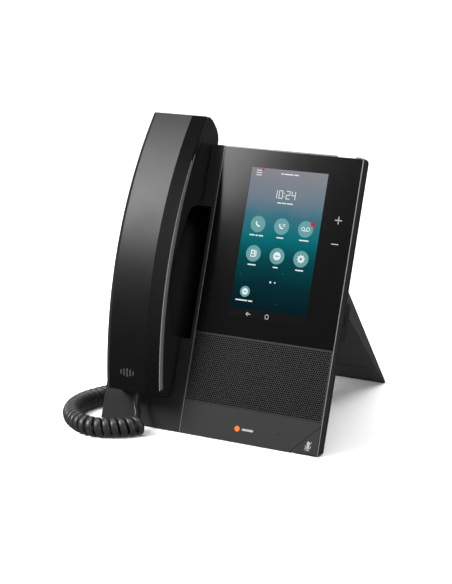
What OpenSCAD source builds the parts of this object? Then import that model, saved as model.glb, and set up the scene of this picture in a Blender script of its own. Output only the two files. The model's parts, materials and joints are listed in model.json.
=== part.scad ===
// Desk telephone: an upright body with a touch display and speaker, a handset resting
// in a cradle on its left, a curly cord on the desk and a prop-up stand behind.
// Millimetres. +Z is up, +X is to the right of somebody facing the phone and the face
// looks towards -Y. The desk is z = 0 and the origin is under the middle of the
// footprint. Most pieces are drawn in the face frame: u to the right, v up the slope
// of the face and n out of the face, with its origin where the face meets the desk.

/* [Body] */
// Width of the body
body_w = 182; // [180:0.5:184]
// Height of the face along its slope
body_h = 215; // [214:0.5:218]
// Lean of the face back from upright, in degrees
lean = 18.7; // [18:0.1:19.5]
// Width of the cradle side
cradle_w = 68; // [67.5:0.25:68.5]
// Depth of the body at its edges
edge_d = 9; // [9:0.25:10]
// Depth of the body in the middle of its back
back_d = 30; // [30:0.25:32]
// Wall of the moulded housings
wall = 2.2; // [2:0.1:2.4]

/* [Display and speaker] */
// Width of the lit part of the display
screen_w = 62.1; // [60:0.1:63]
// Height of the lit part of the display
screen_h = 110.4; // [108:0.1:111]
// Height of the lower edge of the lit part above the foot of the face
screen_v = 90.6; // [90:0.1:91.5]
// Left edge of the lit part, from the middle of the body
screen_u = 3; // [2.5:0.1:3.5]
// Thickness of the front glass
glass_t = 1.5; // [1.2:0.1:1.6]
// Top of the speaker grille
grille_top = 76.3; // [75:0.1:77]
// Top of the lower trim
trim_top = 24.4; // [23.5:0.1:25]

/* [Handset] */
// Width of the handset
handset_w = 45; // [44:0.5:46]
// Radius of the arch of the outer face
arch_r = 295; // [291:1:300]
// Height of the top of the arch above the face
arch_n = 42; // [41.5:0.1:42.5]
// Place of the top of the arch up the face
arch_v = 124; // [123:0.5:125]
// Width of the flat of the outer face
flat_w = 31; // [29:0.5:33]
// Depth of the sloping edges beside the flat
slope_d = 8; // [7:0.25:8.5]

/* [Stand] */
// Distance of the foot of the stand behind the foot of the face
stand_reach = 191.3; // [190:0.1:192]
// Angle of the back of the stand from the desk, in degrees
stand_back_a = 51.4; // [51:0.1:52]
// Angle of the front of the stand from the desk, in degrees
stand_front_a = 45.6; // [45:0.1:46]
// Width of the stand
stand_w = 114; // [110:1:116]
// Radius of the hinge barrel
barrel_r = 7; // [6.5:0.25:7]

/* [Cord] */
// Outer diameter of the coiled stretch
coil_d = 14.3; // [13:0.1:15]
// Diameter of the plain stretches
cord_d = 4; // [3.6:0.1:4.2]

/* [Hidden] */
$fn = 64;

// Colours
black_shell = [0.10, 0.10, 0.11];
grey_shell = [0.17, 0.17, 0.18];
satin_black = [0.13, 0.13, 0.14];
glass_black = [0.03, 0.03, 0.035];
board_green = [0.05, 0.28, 0.16];
steel = [0.72, 0.73, 0.75];
rubber_black = [0.06, 0.06, 0.06];
pale = [0.85, 0.87, 0.88];
cord_grey = [0.12, 0.12, 0.12];

// Fits between pieces
snug = 0.1;      // pieces of one body that sit side by side
free = 0.4;      // pieces of different bodies
running = 0.05;  // radial clearance of a shaft that turns or slides
big = 400;       // larger than the whole phone

// Body
half_w = body_w / 2;
seam_u = cradle_w - half_w;
seam_gap = 0.4;
cradle_u = -half_w + cradle_w / 2;
face_y = -88;          // foot of the face, so that the footprint's middle is at y = 0
desk_gap = 0.8;        // body above the desk, on its rubber feet
frame_d = 5.5;         // depth of the front mouldings
corner_r = 3;
rim = 0.8;             // width of the front frame beside the glass
bulge_inset = 6;       // set-in of the back bulge at its sides
bulge_side_d = 16;     // depth of the bulge where its sides start to slope in
bulge_taper = 6;       // further set-in of its sides at its deepest
bulge_top = 206;       // top of the bulge where it leaves the rim
top_inset = 12;        // set-in of its top at its deepest
well_wall = 1.6;
glass_u0 = seam_u + rim;
glass_u1 = half_w - rim;
glass_top = body_h - 1.1;
screen_u1 = screen_u + screen_w;
screen_v1 = screen_v + screen_h;

// Mute key: a triangle in the lower right corner
key_leg = 20.6;
key_u1 = half_w - rim - 0.2;
key_v0 = 1.3;
key_travel = 0.6;
key_n0 = -2.5;
key_stem = 0.8;

// Cradle
well_gap = 1;
ear_v0 = 168.5;
ear_floor = -11.5;
mouth_v0 = 23.8;
mouth_v1 = 70;
mouth_floor = -6;
finger_depth = 18;
finger_u0 = -74;       // left side of the finger channel
finger_chord = cradle_w - 4;
finger_r = (pow(finger_chord / 2, 2) + pow(finger_depth, 2)) / (2 * finger_depth);
well_u0 = cradle_u - handset_w / 2 - well_gap;
well_u1 = cradle_u + handset_w / 2 + well_gap;

// Hook plunger
hook_v = 179;
hook_r = 4;
hook_top = -11;
sleeve_n = -14.5;

// Jacks in the back, as places along the body
jack_v = 33;
jack_n1 = -14.6;
modular_8 = [16, 13.6, 11.8, 8.4];   // outside width and height, mouth width and height
modular_4 = [10.4, 9.4, 7.8, 6.8];
mouth_deep = 12;
network_u = -6;
computer_u = 13;
handset_jack_u = -34;
headset_jack_u = -50;
usb_u = -68;
board_n = -14;         // back of the main board
board_places = [[-12, 92], [58, 92], [-12, 186], [58, 186]];

// Screws, security lock and light pipe
screw_r = 1.5;
cradle_screws = [[-71, 186], [-71, 17]];
frame_screws = [[70, 184], [-17, 17], [70, 18]];
screw_places = concat(cradle_screws, frame_screws);
lock_v = 98.5;
pipe_u0 = 70.2;
pipe_u1 = 84.4;
pipe_v = 211.2;
pipe_v1 = body_h - 0.1;

// Microphones in the lower trim
mic_places = [0, 58];
mic_v = 12;

// Speaker
speaker_u = 54;
speaker_v = 50;

// Handset
parting_d = 9;          // the shells meet this far below the outer face
ridge_d = 13.3;         // lower edge of the side walls
crown_d = 19;           // underside of the grip along its middle
arch_n0 = arch_n - arch_r;
end_v = 24.7;
ear_c_v = 200;
mouth_c_v = 46;
plug_n = 10;
hollow = handset_w / 2 - wall - 0.4;   // half width of the hollows of the ear and mouth ends
grip_screws = [84, 158];
// Side view of the handset as places (v, n), from the lower end round the ear end
side_view = [
    [end_v, 60], [231.5, 60], [231.8, 22], [233.5, 13], [233.7, 7.7], [232.6, 3.4],
    [230.4, -1], [227.4, -5.4], [223.5, -9], [219.6, -10.6], [174, -10.6], [170.5, -9],
    [168.9, -5], [168.9, 0], [167.5, 7], [165, 13.5], [157.5, 17], [149, 19.7],
    [135.5, 24], [127, 26.6], [118, 27.9], [105.5, 27], [93.5, 24], [87.5, 21.7],
    [80.5, 18.6], [73.5, 15.5], [70.5, 12.5], [69.4, 8], [69.4, -3], [67.5, -5.2],
    [27, -5.2], [end_v, -3]
];

// Stand: the back of the leg runs from the foot up to the barrel
foot_h = 2.4;
leg_len = 162;
flange_t = 4;
plate_t = 2;
cover_t = 1.6;
toe_h = 15;
knee_h = 75;
foot_back = [face_y + stand_reach, 0];
foot_front = foot_back - [2.3, 0];
up_back = [-cos(stand_back_a), sin(stand_back_a)];
in_back = [-sin(stand_back_a), -cos(stand_back_a)];
up_front = [-cos(stand_front_a), sin(stand_front_a)];
in_front = [sin(stand_front_a), cos(stand_front_a)];
pivot = foot_back + leg_len * up_back + barrel_r * in_back;
knee = on_front(knee_h);
knee_dir = unit(pivot - knee);
brow = pivot + barrel_r * [-knee_dir[1], knee_dir[0]];
pin_r = 2.5;
bracket_t = 6;
bracket_u = 46;
bracket_r = 6;

// Screw posts, their heads, the lock boss and the pads under the body
post_r = 3;
screw_end = -16;
post_n = -24;
head_r = 2.9;
head_t = 1;
head_recess = 1.2;
lock_boss_len = 29;
lock_boss_out = 3.5;
lock_boss_deep = 24;
lock_in = 14;
lock_slot_h = 7.2;
lock_slot_n0 = -18.2;
lock_slot_n1 = -15;
pad_u = 60;
pad_y = 15;
pad_half = [18, 6];
pad_t = 1.2;

// Cord routes: round numbers, from the handset round the left side to the back
coil_r = coil_d / 2;
coil_route = [
    [-46, -103, coil_r], [-48.5, -108, coil_r], [-52, -112.6, coil_r],
    [-56.5, -116.6, coil_r], [-62, -120, coil_r], [-67, -122.4, coil_r],
    [-72.5, -123.9, coil_r], [-78.5, -123.8, coil_r], [-85, -121.8, coil_r],
    [-92, -118, coil_r], [-99, -112.4, coil_r], [-105, -105.5, coil_r],
    [-109.5, -98, coil_r], [-112.6, -90, coil_r], [-114.2, -81, coil_r],
    [-114, -72, coil_r], [-112.4, -64, coil_r], [-109.6, -56, coil_r],
    [-107, -47, coil_r], [-103.5, -36, coil_r], [-98.5, -25, coil_r],
    [-91.5, -14, coil_r], [-82, -4, coil_r], [-71, 2.6, coil_r],
    [-59, 6, coil_r], [-46.5, 4.6, coil_r], [-36, -0.6, coil_r], [-28, -7, coil_r]
];
handset_tail_route = [
    [-57, -89.6, 26.2], [-57, -91, 22.4], [-56.4, -92.2, 18.8], [-55, -93.8, 15.6],
    [-53.6, -95.2, 13.8]
];
base_tail_route = [
    [-27.4, -7.5, 7.2], [-22.5, -11, 6.2], [-19.2, -16.5, 5.4], [-18.6, -23, 6],
    [-20.5, -29, 8.6], [-24.5, -34.5, 12.6], [-29.5, -39.2, 16.6], [-33, -42.6, 19],
    [-34, -45.6, 20.4], [-34, -48.5, 21.4]
];

function unit(a) = a / norm(a);
function on_front(h) = foot_front + h / sin(stand_front_a) * up_front;
function on_back(h) = foot_back + h / sin(stand_back_a) * up_back;
// Place (y, z) on the phone of a point (v, n) of the face frame
function face_to_side(p) = [
    face_y + p[0] * sin(lean) - p[1] * cos(lean),
    p[0] * cos(lean) + p[1] * sin(lean)
];

// Puts children drawn in the face frame in their place
module on_face() translate([0, face_y, 0]) rotate([90 - lean, 0, 0]) children();

// Box between two corners
module slab(a, b) translate(a) cube(b - a);

// Extrudes a side view, drawn as (v, n), from u0 to u1
module along_u(u0, u1) translate([u0, 0, 0]) rotate([90, 0, 90]) linear_extrude(u1 - u0) children();

// Extrudes a cross-section, drawn as (u, n), from v0 to v1
module along_v(v0, v1) translate([0, v1, 0]) rotate([90, 0, 0]) linear_extrude(v1 - v0) children();

// Keeps what is higher than z above the desk
module above_desk(z = desk_gap) intersection() {
    children();
    translate([-big / 2, -big / 2, z]) cube(big);
}

// Rectangle with round corners, exact arcs
module round_rect(a, b, r) {
    translate([a[0] + r, a[1]]) square([b[0] - a[0] - 2 * r, b[1] - a[1]]);
    translate([a[0], a[1] + r]) square([b[0] - a[0], b[1] - a[1] - 2 * r]);
    for (x = [a[0] + r, b[0] - r], y = [a[1] + r, b[1] - r]) translate([x, y]) circle(r);
}

// Face outline between two sides, with the body's round outer corners
module face_outline(u0, u1, inset = 0) intersection() {
    round_rect([-half_w + inset, inset], [half_w - inset, body_h - inset], corner_r);
    translate([u0, 0]) square([u1 - u0, body_h]);
}

// Triangle of the mute key, grown by g on every side
module key_outline(g = 0) {
    leg = key_leg + (2 + sqrt(2)) * g;
    translate([key_u1 + g, key_v0 - g]) polygon([[0, 0], [0, leg], [-leg, 0]]);
}

// Cylinder along the face normal, from n0 to n1
module stud(u, v, n0, n1, r) translate([u, v, n0]) cylinder(h = n1 - n0, r = r);

// ---- Housings ----

module front_frame() color(black_shell) above_desk() on_face() difference() {
    union() {
        translate([0, 0, -frame_d]) linear_extrude(frame_d) face_outline(seam_u + seam_gap / 2, half_w);
        for (p = frame_screws) screw_post(p, -frame_d + 1);
    }
    for (p = frame_screws) screw_post_hole(p, -6);
    slab([glass_u0 - snug, grille_top, -glass_t - 0.2], [glass_u1 + snug, glass_top + snug, 1]);
    slab([screen_u - 2.2, screen_v - 5, -frame_d - 1], [screen_u1 + 2.2, screen_v1 + 2.4, 1]);
    slab([glass_u0 - snug, trim_top, -glass_t - 0.4], [glass_u1 + snug, grille_top, 1]);
    slab([glass_u0 - snug, -1, -2], [glass_u1 + snug, trim_top, 1]);
    stud(speaker_u, speaker_v, -frame_d - 1, 1, 19);
    key_opening(-frame_d - 1);
    slab([pipe_u0 - 0.2, pipe_v - 0.2, -frame_d - 1], [pipe_u1 + 0.2, pipe_v1 + snug, 1]);
    for (u = mic_places) stud(u, mic_v, -frame_d - 1, 0, 2.4);
}

// Opening for the mute key, from n up through the face and out at the lower edge
module key_opening(n) {
    translate([0, 0, n]) linear_extrude(-n + 1) key_outline(free);
    slab([key_u1 - key_leg, -1, n], [key_u1 + free, key_v0, 1]);
}

// Screw post under a front moulding, with its hole
module screw_post(p, top) {
    stud(p[0], p[1], post_n, top, post_r);
}

module screw_post_hole(p, top) {
    stud(p[0], p[1], post_n - 1, top, screw_r + snug);
}

module cradle_housing() color(black_shell) above_desk() on_face() difference() {
    union() {
        translate([0, 0, -wall]) linear_extrude(wall) face_outline(-half_w, seam_u - seam_gap / 2);
        difference() {
            translate([0, 0, -frame_d]) linear_extrude(frame_d)
                face_outline(-half_w, seam_u - seam_gap / 2);
            slab([-half_w + wall, 2 * wall, -frame_d - 1],
                 [seam_u - seam_gap / 2 - wall, body_h - wall, 0]);
        }
        ear_well_box();
        slab([well_u0 - well_wall, mouth_v0 - well_wall, mouth_floor - well_wall],
             [well_u1 + well_wall, mouth_v1 + well_wall, 0]);
        along_v(mouth_v1 - wall - 0.5, ear_v0 + wall) finger_section(wall);
        stud(cradle_u, hook_v, sleeve_n, ear_floor, hook_r + 2);
        screw_post(cradle_screws[0], ear_floor - 1);
        screw_post(cradle_screws[1], -1);
    }
    screw_post_hole(cradle_screws[0], ear_floor - 3);
    screw_post_hole(cradle_screws[1], -6);
    slab([well_u0, ear_v0, ear_floor], [well_u1, body_h + 1, 1]);
    slab([well_u0, mouth_v0, mouth_floor], [well_u1, mouth_v1, 1]);
    along_v(mouth_v1 - 0.5, ear_v0) finger_section();
    stud(cradle_u, hook_v, sleeve_n - 1, ear_floor + 1, hook_r + running);
}

// Block around the ear well, grown by g
module ear_well_box(g = 0) slab(
    [well_u0 - well_wall - g, ear_v0 - well_wall - g, ear_floor - well_wall - g],
    [well_u1 + well_wall + g, body_h + g, 0]
);

// Cross-section of the finger channel, grown by g
module finger_section(g = 0) intersection() {
    translate([cradle_u, finger_r - finger_depth]) circle(finger_r + g, $fn = 128);
    translate([finger_u0 - g, -big])
        square([seam_u - seam_gap - wall - finger_u0 + 2 * g, big + (g > 0 ? 0 : 1)]);
}

// Back bulge: widest where it leaves the rim and set in towards the back
module bulge(inset, depth) intersection() {
    along_v(-big / 2, big) polygon([
        [-half_w + bulge_inset + inset, 0], [half_w - bulge_inset - inset, 0],
        [half_w - bulge_inset - inset, -bulge_side_d],
        [half_w - bulge_inset - bulge_taper - inset, -depth],
        [-half_w + bulge_inset + bulge_taper + inset, -depth],
        [-half_w + bulge_inset + inset, -bulge_side_d]
    ]);
    along_u(-big / 2, big / 2) polygon([
        [-big / 4, 0], [bulge_top - inset, 0],
        [bulge_top - inset, -edge_d + inset],
        [bulge_top - top_inset - inset, -depth], [-big / 4, -depth]
    ]);
}

module rear_housing() color(grey_shell) difference() {
    union() {
        rear_shell();
        on_face() for (p = board_places) stud(p[0], p[1], -back_d + wall / 2, board_n - snug, post_r);
    }
    on_face() {
        ear_well_box(snug);
        jack_hole(network_u, modular_8);
        jack_hole(computer_u, modular_8);
        jack_hole(headset_jack_u, modular_4);
        jack_hole(handset_jack_u, modular_4);
        slab([usb_u - 7.2, jack_v - 3.6, -back_d - 1], [usb_u + 7.2, jack_v + 3.6, -back_d + wall + 1]);
        lock_slot();
        for (p = screw_places) {
            stud(p[0], p[1], -back_d - 1, -back_d + wall + 1, screw_r + 0.2);
            stud(p[0], p[1], -back_d - 1, -back_d + head_recess, head_r + 0.3);
        }
    }
    for (s = [-1, 1]) foot_pad(s, snug);
}

module rear_shell() difference() {
    above_desk() on_face() {
        translate([0, 0, -edge_d]) linear_extrude(edge_d - frame_d - snug) face_outline(-half_w, half_w);
        difference() {
            bulge(0, back_d);
            slab([-big / 2, -big / 2, -frame_d - snug], [big / 2, big, 1]);
        }
        lock_boss();
    }
    above_desk(desk_gap + wall) on_face() {
        translate([0, 0, -edge_d + wall]) linear_extrude(edge_d) face_outline(-half_w, half_w, wall);
        bulge(wall, back_d - wall);
    }
}

module jack_hole(u, size) slab(
    [u - size[0] / 2 - snug, jack_v - size[1] / 2 - snug, -back_d - 1],
    [u + size[0] / 2 + snug, jack_v + size[1] / 2 + snug, -back_d + wall + 1]
);

// Boss in the right side of the back with a slot for a security lock
module lock_boss() slab(
    [half_w - lock_in, lock_v - lock_boss_len / 2, -lock_boss_deep],
    [half_w - lock_boss_out, lock_v + lock_boss_len / 2, -edge_d]
);

module lock_slot() slab(
    [half_w - lock_in, lock_v - lock_slot_h / 2, lock_slot_n0],
    [half_w, lock_v + lock_slot_h / 2, lock_slot_n1]
);

module case_screws() color(steel) on_face() for (p = screw_places) {
    stud(p[0], p[1], -back_d + head_recess - head_t, -back_d + head_recess, head_r);
    stud(p[0], p[1], -back_d + head_recess, screw_end, screw_r);
}

// Rubber pad under the body, s is its side and g grows its sides into a pocket
module foot_pad(s, g = 0) translate([s * pad_u, face_y + pad_y, 0])
    slab([-pad_half[0] - g, -pad_half[1] - g, g > 0 ? -1 : 0],
         [pad_half[0] + g, pad_half[1] + g, desk_gap + pad_t]);

module body_feet() color(rubber_black) for (s = [-1, 1]) foot_pad(s);

// ---- Display side ----

module front_glass() color(glass_black) on_face()
    slab([glass_u0, grille_top + snug, -glass_t - 0.1], [glass_u1, glass_top, -0.1]);

module display_panel() color([0.05, 0.25, 0.28]) on_face()
    slab([screen_u - 1.8, screen_v - 4.6, -4], [screen_u1 + 1.8, screen_v1 + 2, -glass_t - 0.1]);

module display_backlight() color(pale) on_face()
    slab([screen_u - 1.8, screen_v - 4.6, -6], [screen_u1 + 1.8, screen_v1 + 2, -4]);

module speaker_grille() color([0.14, 0.13, 0.13]) on_face()
    slab([glass_u0, trim_top + snug, -glass_t - 0.4], [glass_u1, grille_top - snug, -0.4]);

module loudspeaker() color(steel) on_face() translate([speaker_u, speaker_v, -frame_d]) difference() {
    union() {
        translate([0, 0, -2.1]) cylinder(h = 2, r = 22);
        translate([0, 0, -8.1]) cylinder(h = 6, r1 = 15, r2 = 20);
        translate([0, 0, -15.1]) cylinder(h = 7, r = 14);
    }
    translate([0, 0, -6.1]) cylinder(h = 7, r1 = 11, r2 = 19);
}

module lower_trim() color(grey_shell) above_desk() on_face() difference() {
    slab([glass_u0, 0, -2], [glass_u1, trim_top - snug, 0]);
    key_opening(-3);
    for (u = mic_places) stud(u, mic_v, -3, 1, 0.5);
}

module mute_key() color(grey_shell) above_desk(desk_gap + 0.2) on_face() {
    translate([0, 0, key_n0]) linear_extrude(-key_n0) key_outline();
    stud(key_u1 - 7, key_v0 + 7, key_n0 - key_stem, key_n0, 1.6);
}

module mute_switch() color(steel) on_face() {
    slab([key_u1 - 10, key_v0 + 5, -6.7], [key_u1 - 4, key_v0 + 10, -4.5]);
    stud(key_u1 - 7, key_v0 + 7, -4.5, key_n0 - key_stem - key_travel - 0.1, 1.5);
}

module light_pipe() color(pale) on_face() {
    slab([pipe_u0, pipe_v, -4], [pipe_u1, pipe_v1, -glass_t - 0.3]);
    slab([pipe_u0, glass_top + snug, -glass_t - 0.3], [pipe_u1, pipe_v1, -0.1]);
}

module message_led() color([0.9, 0.3, 0.2]) on_face()
    slab([pipe_u0 + 5, pipe_v, -6.2], [pipe_u1 - 5, pipe_v + 1.4, -4]);

module desk_mics() color(steel) on_face() for (u = mic_places) stud(u, mic_v, -frame_d + 0.5, -2, 2.2);

module main_board() color(board_green) on_face() {
    slab([-18, 84, board_n], [64, 194, board_n + 1.4]);
    slab([10, 120, board_n - 1.8], [28, 138, board_n]);
    slab([36, 124, board_n - 1.4], [50, 136, board_n]);
    slab([12, 150, board_n - 1.4], [24, 166, board_n]);
    slab([44, 96, board_n - 3], [56, 106, board_n]);
}

// ---- Boards and jacks at the back ----

module jack_board() color(board_green) on_face()
    slab([usb_u - 9, jack_v - 9, jack_n1], [computer_u + 9, jack_v + 9, jack_n1 + 1.5]);

// Modular jack whose mouth opens out of the back
module modular_jack(u, size) on_face() difference() {
    slab([u - size[0] / 2, jack_v - size[1] / 2, -back_d],
         [u + size[0] / 2, jack_v + size[1] / 2, jack_n1]);
    slab([u - size[2] / 2, jack_v - size[3] / 2, -back_d - 1],
         [u + size[2] / 2, jack_v + size[3] / 2, -back_d + mouth_deep]);
}

module network_jack() color(steel) modular_jack(network_u, modular_8);

module computer_jack() color(steel) modular_jack(computer_u, modular_8);

module headset_jack() color(rubber_black) modular_jack(headset_jack_u, modular_4);

module handset_jack() color(rubber_black) modular_jack(handset_jack_u, modular_4);

module usb_port() color(steel) on_face() {
    difference() {
        slab([usb_u - 7, jack_v - 3.4, -back_d], [usb_u + 7, jack_v + 3.4, jack_n1]);
        slab([usb_u - 6.2, jack_v - 2.6, -back_d - 1], [usb_u + 6.2, jack_v + 2.6, -back_d + 10]);
    }
    slab([usb_u - 5.4, jack_v, -back_d + 1], [usb_u + 5.4, jack_v + 1.8, -back_d + 10]);
}

module hook_plunger() color(black_shell) on_face() {
    stud(cradle_u, hook_v, -19.5, hook_top, hook_r);
    stud(cradle_u, hook_v, -19.5, -19, hook_r + 1.2);
}

module hook_spring() color(steel) on_face() translate([cradle_u, hook_v, -25]) difference() {
    cylinder(h = 5.4, r = 3.2);
    translate([0, 0, -1]) cylinder(h = 8, r = 2.4);
}

module hook_switch() color(board_green) on_face() {
    slab([cradle_u - 8, hook_v - 9, -26.6], [cradle_u + 14, hook_v + 9, -25]);
    slab([cradle_u + 6, hook_v - 5, -25], [cradle_u + 12, hook_v + 5, -20.5]);
}

// ---- Stand ----

// Extrudes a side view, drawn as (y, z), from u0 to u1
module side_plate(u0, u1) translate([u0, 0, 0]) rotate([90, 0, 90]) linear_extrude(u1 - u0) children();

module leg_outline() {
    polygon([on_front(foot_h), knee, brow, pivot, pivot - barrel_r * in_back, on_back(foot_h)]);
    translate(pivot) circle(barrel_r);
}

// Strip of the leg inside its back edge
module leg_back_strip() intersection() {
    leg_outline();
    polygon([on_back(0), pivot - barrel_r * in_back, pivot - (barrel_r - plate_t) * in_back,
             on_back(0) + plate_t * in_back]);
}

// Strip of the leg inside its front edge, above the toe
module leg_front_strip() intersection() {
    leg_outline();
    toe = on_front(toe_h + 0.3);
    shin = knee - cover_t * [-knee_dir[1], knee_dir[0]];
    head = knee + 38 * knee_dir;
    polygon([
        toe, knee, head, head - cover_t * [-knee_dir[1], knee_dir[0]],
        shin, toe + cover_t * in_front
    ]);
}

module toe_outline() intersection() {
    leg_outline();
    square([big, toe_h]);
}

module stand_leg() color(grey_shell) difference() {
    union() {
        for (s = [-1, 1]) side_plate(s > 0 ? stand_w / 2 - flange_t : -stand_w / 2,
                                     s > 0 ? stand_w / 2 : -stand_w / 2 + flange_t) leg_outline();
        side_plate(-stand_w / 2, stand_w / 2) leg_back_strip();
        side_plate(-stand_w / 2, stand_w / 2) toe_outline();
        side_plate(-stand_w / 2, stand_w / 2) translate(pivot) circle(barrel_r);
    }
    for (s = [-1, 1]) side_plate(s * (bracket_u + bracket_t / 2) - bracket_t / 2 - free,
                                 s * (bracket_u + bracket_t / 2) + bracket_t / 2 + free)
        translate(pivot) circle(barrel_r + 2);
    side_plate(-stand_w, stand_w) translate(pivot) circle(pin_r + running);
}

module stand_cover() color(grey_shell)
    side_plate(-stand_w / 2 + flange_t + snug, stand_w / 2 - flange_t - snug) leg_front_strip();

module stand_foot_rubber() color(rubber_black) side_plate(-stand_w / 2, stand_w / 2)
    polygon([foot_front + [-0.6, 0], foot_back, on_back(foot_h), on_front(foot_h)]);

// Lugs on the back of the body that carry the stand
module stand_brackets() color(grey_shell) for (s = [-1, 1])
    side_plate(
        s * (bracket_u + bracket_t / 2) - bracket_t / 2,
        s * (bracket_u + bracket_t / 2) + bracket_t / 2
    )
        difference() {
            union() {
                translate(pivot) circle(bracket_r);
                polygon([
                    face_to_side([pivot_v() + 14, -back_d]), face_to_side([pivot_v() - 14, -back_d]),
                    pivot + bracket_r * [-cos(lean - 12), -sin(lean - 12)] + [2, -5],
                    pivot + [0, -bracket_r], pivot + [0, bracket_r]
                ]);
            }
            translate(pivot) circle(pin_r);
        }

// Height of the pivot up the face
function pivot_v() = (pivot[0] - face_y) * sin(lean) + pivot[1] * cos(lean);

module stand_pins() color(steel) for (s = [-1, 1])
    side_plate(s * (bracket_u + 2.5) - 8, s * (bracket_u + 2.5) + 8) translate(pivot) circle(pin_r);

// ---- Handset ----

// Turns a cross-section, drawn as (radius, distance from the middle), along the arch
module along_arch(v0 = 10, v1 = 240) {
    a0 = asin((v0 - arch_v) / arch_r);
    a1 = asin((v1 - arch_v) / arch_r);
    translate([cradle_u, arch_v, arch_n0]) rotate([90, 0, 90]) rotate([0, 0, 90 - a1])
        rotate_extrude(angle = a1 - a0, $fn = 360) children();
}

// Section of the outer face and sides down to radius r0, set in by g
module outer_section(r0, g = 0) {
    half = handset_w / 2 - g;
    flat = flat_w / 2 - g * 0.4;
    polygon([[r0, -half], [arch_r - slope_d - g * 0.4, -half], [arch_r - g, -flat],
             [arch_r - g, flat], [arch_r - slope_d - g * 0.4, half], [r0, half]]);
}

// Section of the grip below the side walls, set in by g
module crown_section(g = 0) polygon([
    [arch_r - parting_d, -handset_w / 2 + g], [arch_r - ridge_d, -handset_w / 2 + g],
    [arch_r - crown_d + g, -flat_w / 2 + g + 3], [arch_r - crown_d + g, flat_w / 2 - g - 3],
    [arch_r - ridge_d, handset_w / 2 - g], [arch_r - parting_d, handset_w / 2 - g]
]);

module handset_form() intersection() {
    along_arch() outer_section(arch_r - 70);
    union() {
        along_u(cradle_u - handset_w, cradle_u + handset_w) polygon(side_view);
        along_arch(end_v + 6, 222) crown_section();
    }
}

module handset_outer_shell() color(satin_black) on_face() difference() {
    union() {
        difference() {
            handset_form();
            along_arch(0, 250) translate([100, -big / 2]) square([arch_r - parting_d - 100, big]);
            intersection() {
                along_arch() outer_section(arch_r - 70, wall);
                slab([-big, end_v + wall, -big], [big, 230, big]);
            }
        }
        for (v = grip_screws) stud(cradle_u, v, crown_n(v) + 4, crown_n(v) + crown_d - 1.4, 3.4);
    }
    for (v = grip_screws) stud(cradle_u, v, 0, crown_n(v) + crown_d - 5, screw_r + snug);
}

// Height above the face of the underside of the grip along its middle
function crown_n(v) = arch_n0 + sqrt(pow(arch_r - crown_d, 2) - pow(v - arch_v, 2));

module handset_inner_shell() color(satin_black) on_face() difference() {
    handset_form();
    along_arch(0, 250) translate([arch_r - parting_d - 0.1, -big / 2]) square([60, big]);
    intersection() {
        union() {
            along_arch(40, 222) crown_section(wall);
            along_u(cradle_u - hollow, cradle_u + hollow) polygon([
                [171.5, -8.2], [219, -8.2], [222.2, -6.6], [228.2, 1], [230.6, 8], [230, 40], [171.5, 40]
            ]);
            slab([cradle_u - hollow, end_v + wall, mouth_floor + 3.2],
                 [cradle_u + hollow, mouth_v1 - 3.2, 40]);
        }
        slab([-big, end_v + wall, -big], [big, 231, big]);
    }
    stud(cradle_u, ear_c_v, -11, -8, 11 + snug);
    stud(cradle_u, mouth_c_v, -6, -2, 7 + snug);
    slab([cradle_u - 5 - snug, 0, plug_n - 4.6 - snug],
         [cradle_u + 5 + snug, end_v + 4, plug_n + 4.6 + snug]);
    for (v = grip_screws) stud(cradle_u, v, 0, 60, screw_r + snug);
    for (v = grip_screws) stud(cradle_u, v, crown_n(v) + 3.8, 60, 3.6);
}

module ear_grille() color(black_shell) on_face() difference() {
    stud(cradle_u, ear_c_v, -10.2, -8.2, 11);
    for (a = [0 : 60 : 300]) stud(cradle_u + 5.5 * cos(a), ear_c_v + 5.5 * sin(a), -11, -8, 0.9);
    stud(cradle_u, ear_c_v, -11, -8, 0.9);
}

module ear_receiver() color(steel) on_face() {
    stud(cradle_u, ear_c_v, -8, -3, 13);
    stud(cradle_u, ear_c_v, -3, 1, 8);
}

module mouth_grille() color(black_shell) on_face() difference() {
    stud(cradle_u, mouth_c_v, -4.9, -2.8, 7);
    for (u = [-3, 0, 3]) stud(cradle_u + u, mouth_c_v, -6, -2, 0.8);
}

module handset_mic() color(steel) on_face() stud(cradle_u, mouth_c_v, -2.7, 0.6, 4.8);

module handset_weight() color(steel) on_face()
    slab([cradle_u - 14, 182, 1.2], [cradle_u + 14, 216, 8]);

// Four-way socket in the lower end of the handset
module handset_socket() color(rubber_black) on_face() difference() {
    slab([cradle_u - 5, end_v + 0.2, plug_n - 4.6], [cradle_u + 5, end_v + 15, plug_n + 4.6]);
    slab([cradle_u - 3.9, end_v - 1, plug_n - 3.4], [cradle_u + 3.9, end_v + mouth_deep, plug_n + 3.4]);
}

// The screws go in from under the grip
module handset_screws() color(steel) on_face() for (v = grip_screws)
    stud(cradle_u, v, crown_n(v) + 0.4, crown_n(v) + 11, screw_r);

// ---- Cord ----

// Clear four-way plug drawn along +Z, its cord end at the origin
module modular_plug() {
    translate([-3.8, -3.3, -11]) cube([7.6, 6.6, 11]);
    translate([-1.2, -3.3, -9]) cube([2.4, 0.9, 9]);
}

module handset_plug() color(pale) on_face()
    translate([cradle_u, end_v, plug_n]) rotate([90, 0, 0]) modular_plug();

module base_plug() color(pale) on_face()
    translate([handset_jack_u, jack_v, -back_d - 0.2]) rotate([180, 0, 0]) modular_plug();

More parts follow.
